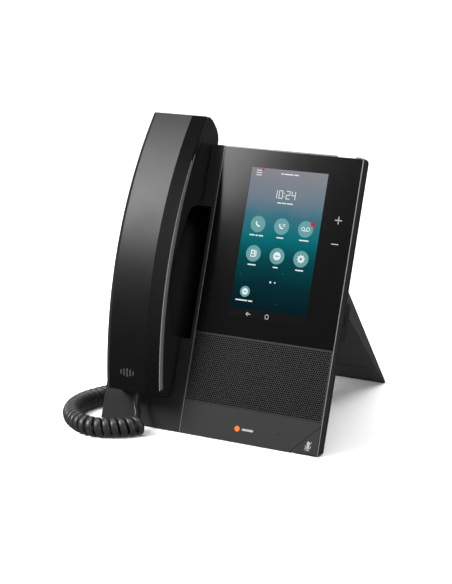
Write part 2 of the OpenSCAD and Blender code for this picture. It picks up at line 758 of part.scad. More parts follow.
// Plain tube of radius r along a route, closed at both ends
module tube(route, r, sides = 8) {
    count = len(route);
    ahead = [for (i = [0 : count - 1]) unit(route[min(i + 1, count - 1)] - route[max(i - 1, 0)])];
    side = [for (d = ahead) unit(cross(d, abs(d[2]) > 0.9 ? [1, 0, 0] : [0, 0, 1]))];
    points = [for (i = [0 : count - 1], k = [0 : sides - 1])
        route[i] + r * (cos(k * 360 / sides) * side[i] + sin(k * 360 / sides) * cross(side[i], ahead[i]))];
    walls = [for (i = [0 : count - 2], k = [0 : sides - 1]) [
        i * sides + k, i * sides + (k + 1) % sides,
        (i + 1) * sides + (k + 1) % sides, (i + 1) * sides + k
    ]];
    first_cap = [for (k = [sides - 1 : -1 : 0]) k];
    last_cap = [for (k = [0 : sides - 1]) (count - 1) * sides + k];
    polyhedron(points, concat(walls, [first_cap, last_cap]));
}

module handset_tail() color(cord_grey) tube(handset_tail_route, cord_d / 2);

module base_tail() color(cord_grey) tube(base_tail_route, cord_d / 2);

module cord_coil() color(cord_grey) tube(coil_route, coil_r, 12);

front_frame();
cradle_housing();
rear_housing();
case_screws();
body_feet();
front_glass();
display_panel();
display_backlight();
speaker_grille();
loudspeaker();
lower_trim();
mute_key();
mute_switch();
light_pipe();
message_led();
desk_mics();
main_board();
jack_board();
network_jack();
computer_jack();
headset_jack();
handset_jack();
usb_port();
hook_plunger();
hook_spring();
hook_switch();
stand_leg();
stand_cover();
stand_foot_rubber();
stand_brackets();
stand_pins();
handset_outer_shell();
handset_inner_shell();
ear_grille();
ear_receiver();
mouth_grille();
handset_mic();
handset_weight();
handset_socket();
handset_screws();
handset_plug();
base_plug();
handset_tail();
cord_coil();
base_tail();
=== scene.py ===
import bpy
import bmesh
import json
import math
from mathutils import Vector, Matrix, noise
from mathutils.geometry import delaunay_2d_cdt


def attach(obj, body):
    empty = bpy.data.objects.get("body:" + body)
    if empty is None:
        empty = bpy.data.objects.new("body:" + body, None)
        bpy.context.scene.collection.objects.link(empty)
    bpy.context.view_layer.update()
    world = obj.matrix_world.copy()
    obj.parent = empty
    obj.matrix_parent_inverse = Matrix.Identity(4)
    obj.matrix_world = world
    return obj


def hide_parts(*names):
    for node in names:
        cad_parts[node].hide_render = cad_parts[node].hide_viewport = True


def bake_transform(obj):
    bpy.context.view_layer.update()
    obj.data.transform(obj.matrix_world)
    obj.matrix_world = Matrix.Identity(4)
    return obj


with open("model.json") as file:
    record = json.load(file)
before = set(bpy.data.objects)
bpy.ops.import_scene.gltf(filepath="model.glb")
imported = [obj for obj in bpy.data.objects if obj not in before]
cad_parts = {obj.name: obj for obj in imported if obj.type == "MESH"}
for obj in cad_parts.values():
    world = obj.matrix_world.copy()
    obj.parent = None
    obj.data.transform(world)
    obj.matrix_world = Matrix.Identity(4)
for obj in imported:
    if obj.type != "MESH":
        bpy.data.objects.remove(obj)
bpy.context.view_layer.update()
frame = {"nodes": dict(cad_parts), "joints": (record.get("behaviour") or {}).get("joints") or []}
print("frame loaded")

mm = 0.001
nodes = frame["nodes"]
joints = {j["name"]: j for j in frame["joints"]}
bodyHeight = 215
deskGap = 0.8  # the feet hold the body this far off the desk

# the phone's face: u to the right, v up the slope, n out of it, all in millimetres
outward = Vector(joints["handset_lift"]["axis"]).normalized()
lean = math.atan2(outward.z, -outward.y)
upFace = Vector((0, math.sin(lean), math.cos(lean)))


def rawSpan(node):
    # lowest and highest u, v, n of a CAD node, before the face's own origin is known
    places = [v.co for v in nodes[node].data.vertices]
    rows = [[p.x / mm, p.dot(upFace) / mm, p.dot(outward) / mm] for p in places]
    return [min(r[i] for r in rows) for i in range(3)], [max(r[i] for r in rows) for i in range(3)]


frontLow, frontHigh = rawSpan("front_frame")
cradleLow, cradleHigh = rawSpan("cradle_housing")
originV = frontHigh[1] - bodyHeight
originN = frontHigh[2]
halfWidth = frontHigh[0]
seam = (cradleHigh[0] + frontLow[0]) / 2
faceOrigin = upFace * originV * mm + outward * originN * mm
faceMatrix = Matrix.Translation(faceOrigin) @ Matrix((
    (1, 0, 0, 0),
    (0, upFace.y, outward.y, 0),
    (0, upFace.z, outward.z, 0),
    (0, 0, 0, 1),
)) @ Matrix.Scale(mm, 4)


def span(node):
    low, high = rawSpan(node)
    shift = (0, originV, originN)
    return [a - s for a, s in zip(low, shift)], [a - s for a, s in zip(high, shift)]


def bottomAt(n):
    # v of the body's level underside, at a depth n
    return (deskGap - n * math.sin(lean)) / math.cos(lean)


def sceneObject(name, data):
    obj = bpy.data.objects.new(name, data)
    bpy.context.scene.collection.objects.link(obj)
    return obj


camera = {
    "azimuth": 29.5,
    "elevation": 13.94,
    "place": (0.60786, -1.13187, 0.40924),
    "lens": 107.57,
    "sensor": 36,
    "nearest": 0.05,
    "furthest": 50,
}


def makeCamera(p):
    data = bpy.data.cameras.new("camera")
    data.lens = p["lens"]
    data.sensor_width = p["sensor"]
    data.clip_start = p["nearest"]
    data.clip_end = p["furthest"]
    obj = sceneObject("camera", data)
    obj.location = p["place"]
    obj.rotation_euler = (math.radians(90 - p["elevation"]), 0, math.radians(p["azimuth"]))
    bpy.context.scene.camera = obj


makeCamera(camera)
print("camera placed")


class Wire:
    # a socket whose sums and products add their own Math nodes
    def __init__(self, paint, socket):
        self.paint = paint
        self.socket = socket

    def maths(self, operation, a, b):
        return self.paint.node("ShaderNodeMath", {"operation": operation}, {0: a, 1: b})[0]

    def __add__(self, other):
        return self.maths("ADD", self, other)

    def __radd__(self, other):
        return self.maths("ADD", other, self)

    def __sub__(self, other):
        return self.maths("SUBTRACT", self, other)

    def __rsub__(self, other):
        return self.maths("SUBTRACT", other, self)

    def __mul__(self, other):
        return self.maths("MULTIPLY", self, other)

    def __rmul__(self, other):
        return self.maths("MULTIPLY", other, self)


class Outputs:
    def __init__(self, paint, node):
        self.paint = paint
        self.node = node

    def __getitem__(self, key):
        return Wire(self.paint, self.node.outputs[key])


# how far the edges of moulded plastic are lightened: partly wear, partly a painted highlight
edgeWearAndHighlight = {"radius": 0.0005, "flat": 0.995, "sharp": 0.85, "most": 0.8}


class Paint:
    # the node tree of one material, or of the world
    def __init__(self, owner, ending="ShaderNodeOutputMaterial"):
        self.owner = owner
        owner.use_nodes = True
        self.tree = owner.node_tree
        self.tree.nodes.clear()
        self.out = self.node(ending).node

    def node(self, kind, settings=None, sockets=None):
        made = self.tree.nodes.new(kind)
        for key, value in (settings or {}).items():
            if key == "stops":
                fillRamp(made.color_ramp, value)
            else:
                setattr(made, key, value)
        for key, value in (sockets or {}).items():
            if isinstance(value, Wire):
                self.tree.links.new(value.socket, made.inputs[key])
            else:
                made.inputs[key].default_value = value
        return Outputs(self, made)

    def finish(self, shader):
        self.tree.links.new(shader.socket, self.out.inputs["Surface"])
        return self.owner

    def surface(self, sockets):
        return self.finish(self.node("ShaderNodeBsdfPrincipled", None, sockets)["BSDF"])

    def coords(self, which="Object"):
        return self.node("ShaderNodeTexCoord")[which]

    def noise(self, scale, detail=3, roughness=0.5, where=None):
        return self.node("ShaderNodeTexNoise", None, {
            "Vector": where or self.coords(), "Scale": scale, "Detail": detail, "Roughness": roughness,
        })["Fac"]

    def blendColour(self, factor, a, b):
        # a colour Mix node keeps its colours in sockets 6 and 7
        return self.node("ShaderNodeMix", {"data_type": "RGBA"}, {0: factor, 6: rgba(a), 7: rgba(b)})[2]

    def edges(self, p):
        # 0 on flat faces, rising towards the most at the edges
        rounder = self.node("ShaderNodeBevel", {"samples": 4}, {"Radius": p["radius"]})["Normal"]
        plain = self.node("ShaderNodeNewGeometry")["Normal"]
        same = self.node("ShaderNodeVectorMath", {"operation": "DOT_PRODUCT"}, {
            0: rounder, 1: plain,
        })["Value"]
        return self.node("ShaderNodeMapRange", None, {
            "Value": same, "From Min": p["flat"], "From Max": p["sharp"], "To Max": p["most"],
        })["Result"]

    def bump(self, height, strength, distance):
        return self.node("ShaderNodeBump", None, {
            "Height": height, "Strength": strength, "Distance": distance,
        })["Normal"]


def newPaint(name):
    return Paint(bpy.data.materials.new(name))


def rgba(colour):
    if isinstance(colour, Wire):
        return colour
    return tuple(colour) + (1,) if len(colour) == 3 else colour


def fillRamp(ramp, stops):
    ramp.elements[0].position = stops[0][0]
    ramp.elements[0].color = rgba(stops[0][1])
    ramp.elements[1].position = stops[-1][0]
    ramp.elements[1].color = rgba(stops[-1][1])
    for place, colour in stops[1:-1]:
        ramp.elements.new(place).color = rgba(colour)


def grey(value, warm=0.0):
    return (value * (1 + warm), value, value * (1 - warm))


def shade(colour, share, lift=0.0):
    return [c * share + lift for c in colour]


def moulded(name, colour, roughness, grain=2200, depth=0.00003, spread=0.10, specular=0.5):
    # moulded plastic: fine spark texture, slow colour drift, faint handling marks in the sheen, and edges
    # lightened partly as wear and partly as a painted highlight
    paint = newPaint(name)
    drift = paint.noise(18, 2)
    fine = paint.noise(grain, 2, 0.6)
    rub = paint.noise(55, 4, 0.65)
    tone = paint.blendColour(drift * 0.6 + fine * 0.4, shade(colour, 1 - spread), shade(colour, 1 + spread))
    # painted highlight and wear: convex edges get a lighter colour and a lower roughness
    wearAndHighlight = paint.edges(edgeWearAndHighlight) * (fine + 0.3)
    tone = paint.blendColour(wearAndHighlight, tone, shade(colour, 2.4, 0.012))
    shine = rub * 0.10 + fine * 0.05 + (roughness - 0.075) - wearAndHighlight * 0.08
    return paint.surface({
        "Base Color": tone,
        "Roughness": shine,
        "Specular IOR Level": specular,
        "Normal": paint.bump(fine, 0.35, depth),
    })


def glossy(name, colour, roughness, smear=0.05, specular=0.5):
    # polished sheet: almost flat, with faint wiping marks
    paint = newPaint(name)
    wide = paint.noise(9, 3, 0.6)
    streak = paint.noise(140, 3, 0.6)
    tone = paint.blendColour(wide, shade(colour, 0.9), shade(colour, 1.15))
    return paint.surface({
        "Base Color": tone,
        "Roughness": wide * smear + streak * 0.02 + roughness,
        "Specular IOR Level": specular,
        "Normal": paint.bump(wide, 0.02, 0.0002),
    })


def metal(name, colour, roughness):
    # plated steel with fine brushed scratches
    paint = newPaint(name)
    place = paint.node("ShaderNodeMapping", None, {
        "Vector": paint.coords(), "Scale": (4, 160, 160),
    })["Vector"]
    lines = paint.noise(18, 4, 0.7, place)
    patch = paint.noise(60, 3)
    tone = paint.blendColour(patch, shade(colour, 0.85), colour)
    return paint.surface({
        "Base Color": tone,
        "Metallic": 1.0,
        "Roughness": lines * 0.18 + patch * 0.08 + roughness,
        "Normal": paint.bump(lines, 0.15, 0.00003),
    })


def rubber(name, colour):
    # soft matt rubber with a mould texture
    paint = newPaint(name)
    fine = paint.noise(900, 3, 0.7)
    dust = paint.noise(70, 4, 0.7)
    tone = paint.blendColour(dust, colour, shade(colour, 1.9))
    return paint.surface({
        "Base Color": tone,
        "Roughness": dust * 0.12 + 0.74,
        "Normal": paint.bump(fine, 0.5, 0.00008),
    })


def clear(name, colour):
    # milky moulded light guide
    paint = newPaint(name)
    cloud = paint.noise(200, 3)
    tone = paint.blendColour(cloud, colour, shade(colour, 1.12))
    return paint.surface({
        "Base Color": tone,
        "Roughness": cloud * 0.1 + 0.2,
        "Transmission Weight": 0.35,
        "IOR": 1.49,
        "Normal": paint.bump(cloud, 0.05, 0.00005),
    })


def board(name, colour):
    # solder mask with copper showing through in a fine grid
    paint = newPaint(name)
    traces = paint.node("ShaderNodeTexVoronoi", {"distance": "MANHATTAN"}, {
        "Vector": paint.coords(), "Scale": 420,
    })["Distance"]
    tone = paint.blendColour(traces, colour, shade(colour, 2.2))
    return paint.surface({
        "Base Color": tone,
        "Roughness": traces * 0.2 + 0.3,
        "Normal": paint.bump(traces, 0.3, 0.00005),
    })


def printed(name, colour, strength=0.0, roughness=0.5, specular=0.04):
    # ink or a lit mark, with the slight unevenness of a print
    paint = newPaint(name)
    speck = paint.noise(1500, 2)
    tone = paint.blendColour(speck, shade(colour, 0.9), colour)
    return paint.surface({
        "Base Color": tone if strength == 0 else (0.002, 0.002, 0.002, 1),
        "Roughness": speck * 0.1 + roughness,
        "Specular IOR Level": specular,
        "Emission Color": tone,
        "Emission Strength": strength,
        "Normal": paint.bump(speck, 0.1, 0.00002),
    })


wallpaper = {
    "stops": [
        (0.00, (0.000, 0.010, 0.016)),
        (0.18, (0.000, 0.022, 0.030)),
        (0.38, (0.000, 0.062, 0.074)),
        (0.52, (0.002, 0.155, 0.180)),
        (0.66, (0.040, 0.165, 0.215)),
        (0.80, (0.160, 0.210, 0.260)),
        (1.00, (0.250, 0.245, 0.270)),
    ],
    "strength": 1.0,
    "swirl": 0.10,
    "lightSize": 0.055,
    "lightsBelow": 0.34,
    "light": (0.10, 0.35, 0.36),
}


def screenPicture(p):
    # calm sea-to-sky gradient with soft cloud bands and a few points of light
    paint = newPaint("screen_picture")
    place = paint.coords("Generated")
    height = paint.node("ShaderNodeSeparateXYZ", None, {0: place})["Z"]
    cloud = paint.noise(3.0, 4, 0.55, place)
    band = height + (cloud - 0.5) * p["swirl"]
    sky = paint.node("ShaderNodeValToRGB", {"stops": p["stops"]}, {0: band})["Color"]
    cells = paint.node("ShaderNodeTexVoronoi", None, {"Vector": place, "Scale": 11})["Distance"]
    dot = paint.node("ShaderNodeMath", {"operation": "LESS_THAN"}, {0: cells, 1: p["lightSize"]})[0]
    below = paint.node("ShaderNodeMath", {"operation": "LESS_THAN"}, {0: height, 1: p["lightsBelow"]})[0]
    lit = paint.blendColour(dot * below * 0.5, sky, p["light"])
    return paint.surface({
        "Base Color": (0.001, 0.001, 0.001, 1),
        "Roughness": cloud * 0.05 + 0.13,
        "Specular IOR Level": 0.0,
        "Emission Color": lit,
        "Emission Strength": p["strength"],
    })


finishes = {
    "bodyBlack": moulded("moulded_black", grey(0.010), 0.50, specular=0.2),
    "bodyGrey": moulded("moulded_grey", grey(0.016), 0.52, specular=0.12),
    "cradleBlack": moulded("cradle_black", grey(0.011), 0.42, specular=0.13),
    # a darker, duller copy of the cradle plastic for the wells and the finger channel: painted shade
    "wellBlack": moulded("well_painted_shade", grey(0.0010), 0.50, specular=0.03),
    "edgeGrey": moulded("edge_grey", grey(0.010), 0.34, specular=0.12),
    "rearBlack": moulded("rear_black", grey(0.008), 0.52, specular=0.12),
    "handsetBlack": moulded("handset_satin", grey(0.0015), 0.36, depth=0.00002, specular=0.17),
    "handsetSide": moulded("handset_side", grey(0.008), 0.34, depth=0.00002, specular=0.22),
    # light grey strips along the handset's sides: painted highlights
    "handsetLip": moulded("handset_lip_highlight", grey(0.26), 0.28, depth=0.00001, specular=0.5),
    "handsetBand": moulded("handset_band_highlight", grey(0.090), 0.30, depth=0.00001, specular=0.4),
    # light grey for the front rim round the glass: a painted highlight line
    "rimGrey": moulded("rim_painted_highlight", grey(0.075), 0.30, depth=0.00001, specular=0.4),
    "glass": glossy("display_glass", grey(0.002), 0.11, specular=0.11),
    "grille": moulded("grille_plate", grey(0.012), 0.40, specular=0.15),
    # near black for the insides of the grille's blind holes: painted shade
    "hole": printed("grille_hole", grey(0.0005), 0.0, 0.8, 0.0),
    "cord": moulded("cord_jacket", grey(0.014), 0.40, grain=900, specular=0.36),
    "rubber": rubber("foot_rubber", grey(0.012)),
    "steel": metal("plated_steel", grey(0.62), 0.22),
    "jackBlack": moulded("jack_black", grey(0.012), 0.4),
    "clear": clear("light_guide", grey(0.78)),
    "guide": printed("pale_guide", grey(0.62), 0, 0.35, 0.4),
    "board": board("circuit_board", (0.012, 0.085, 0.04)),
    "stand": moulded("stand_grey", grey(0.030, 0.03), 0.55, specular=0.18),
    "screen": screenPicture(wallpaper),
    "white": printed("lit_white", (0.9, 0.95, 0.95), 0.95),
    "ink": printed("printed_grey", (0.26, 0.26, 0.26)),
    "faintInk": printed("printed_faint", (0.055, 0.055, 0.055)),
    "orange": printed("printed_orange", (0.75, 0.13, 0.02)),
    "icon": printed("lit_icon", (0.15, 0.40, 0.42), 0.9),
    "red": printed("lit_red", (0.55, 0.02, 0.05), 0.9),
    "black": printed("unlit_black", (0.002, 0.002, 0.002), 0.0, 0.2),
}
print("materials made")


def newObject(name, points, faces):
    mesh = bpy.data.meshes.new(name)
    mesh.from_pydata([tuple(p) for p in points], [], faces)
    mesh.validate()
    return sceneObject(name, mesh)


def outwardNormals(obj):
    work = bmesh.new()
    work.from_mesh(obj.data)
    bmesh.ops.recalc_face_normals(work, faces=work.faces)
    work.to_mesh(obj.data)
    work.free()
    return obj


def loft(name, rings, closedEnds=True):
    # skin over rings that all have the same number of points
    count = len(rings[0])
    points = [p for ring in rings for p in ring]
    faces = []
    for i in range(len(rings) - 1):
        for k in range(count):
            a, b = i * count + k, i * count + (k + 1) % count
            faces.append((a, b, b + count, a + count))
    if closedEnds:
        faces.append(tuple(range(count)))
        faces.append(tuple(range((len(rings) - 1) * count, len(rings) * count)))
    return outwardNormals(newObject(name, points, faces))


def plate(name, outline, n0, n1):
    return loft(name, [[(u, v, n0) for u, v in outline], [(u, v, n1) for u, v in outline]])


def sideways(name, outline, u0, u1):
    # a side view, drawn as (v, n), pushed from u0 to u1
    return loft(name, [[(u0, v, n) for v, n in outline], [(u1, v, n) for v, n in outline]])


def block(name, low, high):
    (u0, v0, n0), (u1, v1, n1) = low, high
    return plate(name, [(u0, v0), (u1, v0), (u1, v1), (u0, v1)], n0, n1)


def rod(name, u, v, n0, n1, r, sides=32):
    return plate(name, circle(u, v, r, sides), n0, n1)


def circle(u, v, r, sides=32):
    angles = [math.tau * k / sides for k in range(sides)]
    return [(u + r * math.cos(a), v + r * math.sin(a)) for a in angles]


def rounded(corners, steps=5):
    # polygon whose corners (x, y, radius) are rounded with arcs
    out = []
    count = len(corners)
    for i, (x, y, r) in enumerate(corners):
        here = Vector((x, y))
        if r <= 0:
            out.append((x, y))
            continue
        back = (Vector(corners[i - 1][:2]) - here).normalized()
        ahead = (Vector(corners[(i + 1) % count][:2]) - here).normalized()
        half = math.acos(max(-1, min(1, back.dot(ahead)))) / 2
        reach = r / math.tan(half)
        centre = here + (back + ahead).normalized() * (r / math.sin(half))
        a = here + back * reach - centre
        b = here + ahead * reach - centre
        turn = a.angle_signed(b)
        for k in range(steps + 1):
            p = centre + Matrix.Rotation(-turn * k / steps, 2) @ a
            out.append((p.x, p.y))
    return out


def boxOutline(u0, v0, u1, v1, r):
    r = r if isinstance(r, (list, tuple)) else [r] * 4
    return rounded([(u0, v0, r[0]), (u1, v0, r[1]), (u1, v1, r[2]), (u0, v1, r[3])])


def settle(obj):
    # bakes the modifiers into the mesh
    graph = bpy.context.evaluated_depsgraph_get()
    mesh = bpy.data.meshes.new_from_object(obj.evaluated_get(graph))
    old = obj.data
    obj.modifiers.clear()
    obj.data = mesh
    bpy.data.meshes.remove(old)
    return obj


def combine(obj, others, operation="DIFFERENCE"):
    for other in others:
        step = obj.modifiers.new("combine", "BOOLEAN")
        step.operation = operation
        step.solver = "EXACT"
        step.object = other
        settle(obj)
        bpy.data.objects.remove(other)
    return obj


def cut(obj, *cutters):
    return combine(obj, cutters)


def add(obj, *others):
    return combine(obj, others, "UNION")


def keepInside(obj, other):
    return combine(obj, [other], "INTERSECT")


sharpAngle = math.radians(32)  # edges that turn more than this stay crisp


def smooth(obj):
    obj.data.shade_smooth()
    obj.data.set_sharp_from_angle(angle=sharpAngle)
    return obj


def evenShading(obj):
    obj.modifiers.new("even_shading", "WEIGHTED_NORMAL").keep_sharp = True


def roundKept(obj, width):
    # the same softening for a piece that keeps its CAD mesh
    weld = obj.modifiers.new("weld", "WELD")
    weld.merge_threshold = 0.00002
    step = obj.modifiers.new("soften", "BEVEL")
    step.width = width
    step.segments = 2
    step.limit_method = "ANGLE"
    step.angle_limit = sharpAngle
    evenShading(obj)


def soften(obj, width, segments=2, angle=28):
    # rounds the edges and smooths the rest
    work = bmesh.new()
    work.from_mesh(obj.data)
    bmesh.ops.remove_doubles(work, verts=work.verts, dist=0.004)
    bmesh.ops.dissolve_limit(work, angle_limit=math.radians(0.4), verts=work.verts, edges=work.edges)
    work.to_mesh(obj.data)
    work.free()
    if width > 0:
        step = obj.modifiers.new("soften", "BEVEL")
        step.width = width
        step.segments = segments
        step.limit_method = "ANGLE"
        step.angle_limit = math.radians(angle)
        step.miter_outer = "MITER_ARC"
        step.use_clamp_overlap = True
        settle(obj)
    return smooth(obj)


def join(name, objects):
    # one object of several meshes, each keeping its material
    work = bmesh.new()
    materials = []
    for obj in objects:
        start = len(work.faces)
        work.from_mesh(obj.data)
        work.faces.ensure_lookup_table()
        index = {}
        for i, material in enumerate(obj.data.materials):
            if material not in materials:
                materials.append(material)
            index[i] = materials.index(material)
        for face in work.faces[start:]:
            face.material_index = index.get(face.material_index, 0)
    mesh = bpy.data.meshes.new(name)
    work.to_mesh(mesh)
    work.free()
    for material in materials:
        mesh.materials.append(material)
    for obj in objects:
        bpy.data.objects.remove(obj)
    return smooth(sceneObject(name, mesh))


def paintOver(obj, finish):
    obj.data.materials.clear()
    obj.data.materials.append(finishes[finish])
    return obj


def place(obj, body, slot, replaced=()):
    # moves a piece drawn on the face into the frame's metres and hands it to its body
    obj.data.transform(faceMatrix)
    obj.data.update()
    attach(obj, body)
    if replaced:
        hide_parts(*replaced)
    evenShading(obj)
    return obj


# a flat cord wound into a spring, with a plain tail at each end
cordShape = {
    "width": 5.2,
    "thickness": 2.8,
    "coilRadius": 5.75,
    "pitch": 5.6,
    "perTurn": 22,
    "realLength": 1.65,
    "sides": 10,
    "tailStep": 1.2,
    "coilHeight": 7.15,
    "startAngle": 150,
    "unevenness": 0.012,
    "squareness": 2.6,
    "joinFrom": 5,
    "joinReach": 1.1,
    "stretchWay": (-0.5, 1, -1),
    "stretchFoot": (0, -0.088, 0),
    "stretchFrom": 0.0012,
    "stretchTo": 0.034,
}

coilRoute = [
    (-46, -103), (-48.5, -108), (-52, -112.6), (-56.5, -116.6), (-62, -120), (-67, -122.4),
    (-72.5, -123.9), (-78.5, -123.8), (-85, -121.8), (-92, -118), (-99, -112.4), (-105, -105.5),
    (-109.5, -98), (-112.6, -90), (-114.2, -81), (-114, -72), (-112.4, -64), (-109.6, -56),
    (-107, -47), (-103.5, -36), (-98.5, -25), (-91.5, -14), (-82, -4), (-71, 2.6),
    (-59, 6), (-46.5, 4.6), (-36, -0.6), (-28, -7),
]
handsetTailRoute = [
    (-57, -89.6, 26.2), (-57, -91, 22.4), (-56.4, -92.2, 18.8), (-55, -93.8, 15.6),
    (-53.6, -95.2, 13.8),
]
baseTailRoute = [
    (-27.4, -7.5, 7.2), (-22.5, -11, 6.2), (-19.2, -16.5, 5.4), (-18.6, -23, 6),
    (-20.5, -29, 8.6), (-24.5, -34.5, 12.6), (-29.5, -39.2, 16.6), (-33, -42.6, 19),
    (-34, -45.6, 20.4), (-34, -48.5, 21.4),
]


def through(points, step):
    # smooth line through points, cut into even steps
    points = [Vector(p) for p in points]
    padded = [points[0] * 2 - points[1]] + points + [points[-1] * 2 - points[-2]]
    dense = []
    for i in range(1, len(padded) - 2):
        a, b, c, d = padded[i - 1:i + 3]
        for k in range(16):
            t = k / 16
            dense.append(0.5 * (2 * b + (c - a) * t + (2 * a - 5 * b + 4 * c - d) * t * t
                                + (3 * b - a - 3 * c + d) * t * t * t))
    dense.append(points[-1])
    out = [dense[0]]
    carried = 0.0
    for a, b in zip(dense, dense[1:]):
        length = (b - a).length
        while carried + length >= step * len(out):
            out.append(a.lerp(b, (step * len(out) - carried) / max(length, 1e-9)))
        carried += length
    if (out[-1] - dense[-1]).length > step * 0.4:
        out.append(dense[-1])
    return out


def lineLength(points):
    return sum((b - a).length for a, b in zip(points, points[1:]))


def cordPath(p):
    # centre line of the whole cord, and the direction of the flat side at each point
    spine = through([(x, y, p["coilHeight"]) for x, y in coilRoute], 0.25)
    total = lineLength(spine)
    turns = round(total / p["pitch"])
    steps = turns * p["perTurn"]
    head = through(handsetTailRoute, p["tailStep"])
    tail = through(baseTailRoute, p["tailStep"])
    startAngle = math.radians(p["startAngle"])
    coil, coilOut = [], []
    for i in range(steps + 1):
        share = i / steps
        at = share * (len(spine) - 1)
        low = min(int(at), len(spine) - 2)
        centre = spine[low].lerp(spine[low + 1], at - low)
        ahead = (spine[min(low + 4, len(spine) - 1)] - spine[max(low - 4, 0)]).normalized()
        across = Vector((0, 0, 1)).cross(ahead).normalized()
        angle = startAngle + math.tau * i / p["perTurn"]
        arm = across * math.cos(angle) + Vector((0, 0, 1)) * math.sin(angle)
        wobble = 1 + p["unevenness"] * noise.noise(Vector((share * 40, 3.1, 0.7)))
        coil.append(centre + arm * p["coilRadius"] * wobble)
        coilOut.append(arm)
    # the tails run into the first and last turns where their directions agree best
    bridgeIn, first = runInto(head, coil, p)
    bridgeOut, skipped = runInto(tail[::-1], coil[::-1], p)
    last = len(coil) - skipped
    path = head + bridgeIn + coil[first:last] + bridgeOut[::-1] + tail
    ups = [None] * len(head + bridgeIn) + coilOut[first:last] + [None] * len(bridgeOut + tail)
    return path, ups


def runInto(head, coil, p):
    # a smooth bridge from the end of a tail to a point in the first turn, and that point's number
    start = head[-1]
    leaving = (head[-1] - head[-3]).normalized()
    best, choice = -9, 4
    for i in range(3, p["perTurn"] + 6):
        entering = (coil[i + 1] - coil[i - 1]).normalized()
        gap = coil[i] - start
        score = leaving.dot(gap.normalized()) + 1.4 * entering.dot(gap.normalized()) - gap.length * 0.03
        if gap.length > p["joinFrom"] and score > best:
            best, choice = score, i
    end = coil[choice]
    entering = (coil[choice + 1] - coil[choice - 1]).normalized()
    pull = (end - start).length * p["joinReach"]
    count = max(4, round(pull / p["tailStep"]))
    bridge = []
    for k in range(1, count):
        t = k / count
        bridge.append(start * (2 * t ** 3 - 3 * t ** 2 + 1) + leaving * pull * (t ** 3 - 2 * t ** 2 + t)
                      + end * (3 * t ** 2 - 2 * t ** 3) + entering * pull * (t ** 3 - t ** 2))
    return bridge, choice


def sweepCord(p):
    path, ups = cordPath(p)
    count = len(path)
    ahead = [(path[min(i + 1, count - 1)] - path[max(i - 1, 0)]).normalized() for i in range(count)]
    first = next(i for i, up in enumerate(ups) if up is not None)
    last = max(i for i, up in enumerate(ups) if up is not None)
    for i in range(first - 1, -1, -1):
        ups[i] = (ups[i + 1] - ahead[i] * ups[i + 1].dot(ahead[i])).normalized()
    for i in range(last + 1, count):
        ups[i] = (ups[i - 1] - ahead[i] * ups[i - 1].dot(ahead[i])).normalized()
    square = p["squareness"]
    rings = []
    for point, direction, up in zip(path, ahead, ups):
        up = (up - direction * up.dot(direction)).normalized()
        side = direction.cross(up)
        ring = []
        for k in range(p["sides"]):
            angle = math.tau * k / p["sides"]
            # a superellipse: flat faces with round edges
            c, s = math.cos(angle), math.sin(angle)
            bulge = (abs(c) ** square + abs(s) ** square) ** (-1 / square)
            ring.append(point + side * (c * bulge * p["width"] / 2) + up * (s * bulge * p["thickness"] / 2))
        rings.append(ring)
    obj = loft("curly_cord", rings)
    obj.data.transform(Matrix.Scale(mm, 4))
    obj.data.shade_smooth()
    paintOver(obj, "cord")
    length = lineLength(path) * mm
    print("cord length", round(length, 3), "points", count)
    return obj, [list(q * mm) for q in path]


def makeCord(p):
    cord, path = sweepCord(p)
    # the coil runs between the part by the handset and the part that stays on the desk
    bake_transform(cord)
    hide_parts("handset_tail", "cord_coil", "base_tail")


makeCord(cordShape)
print("cord made")


studio = {
    "target": (-0.02, -0.04, 0.11),
    # name, direction from the phone, distance, width, height, watts
    "softLights": [
        ("softbox_left", (-0.60, -0.58, 0.56), 1.5, 0.75, 0.52, 38),
        ("softbox_high", (-0.42, -0.42, 0.80), 1.6, 0.60, 0.50, 12),
        ("softbox_top", (0.05, 0.15, 1.0), 1.9, 2.4, 2.4, 10),
        ("strip_right", (0.95, -0.22, 0.20), 1.5, 0.22, 0.8, 7),
    ],
    "floorBack": 7.0,
    "floorFront": -2.2,
    "floorSide": 5.0,
    "floorTones": ((0.88, 0.88, 0.88), (0.92, 0.92, 0.92)),
    "sun": 3.0,
    "sunAngle": 60,
    "sunFrom": (0, 0.26, 0.97),
    "sky": 0.20,
    "background": 1.0,
}


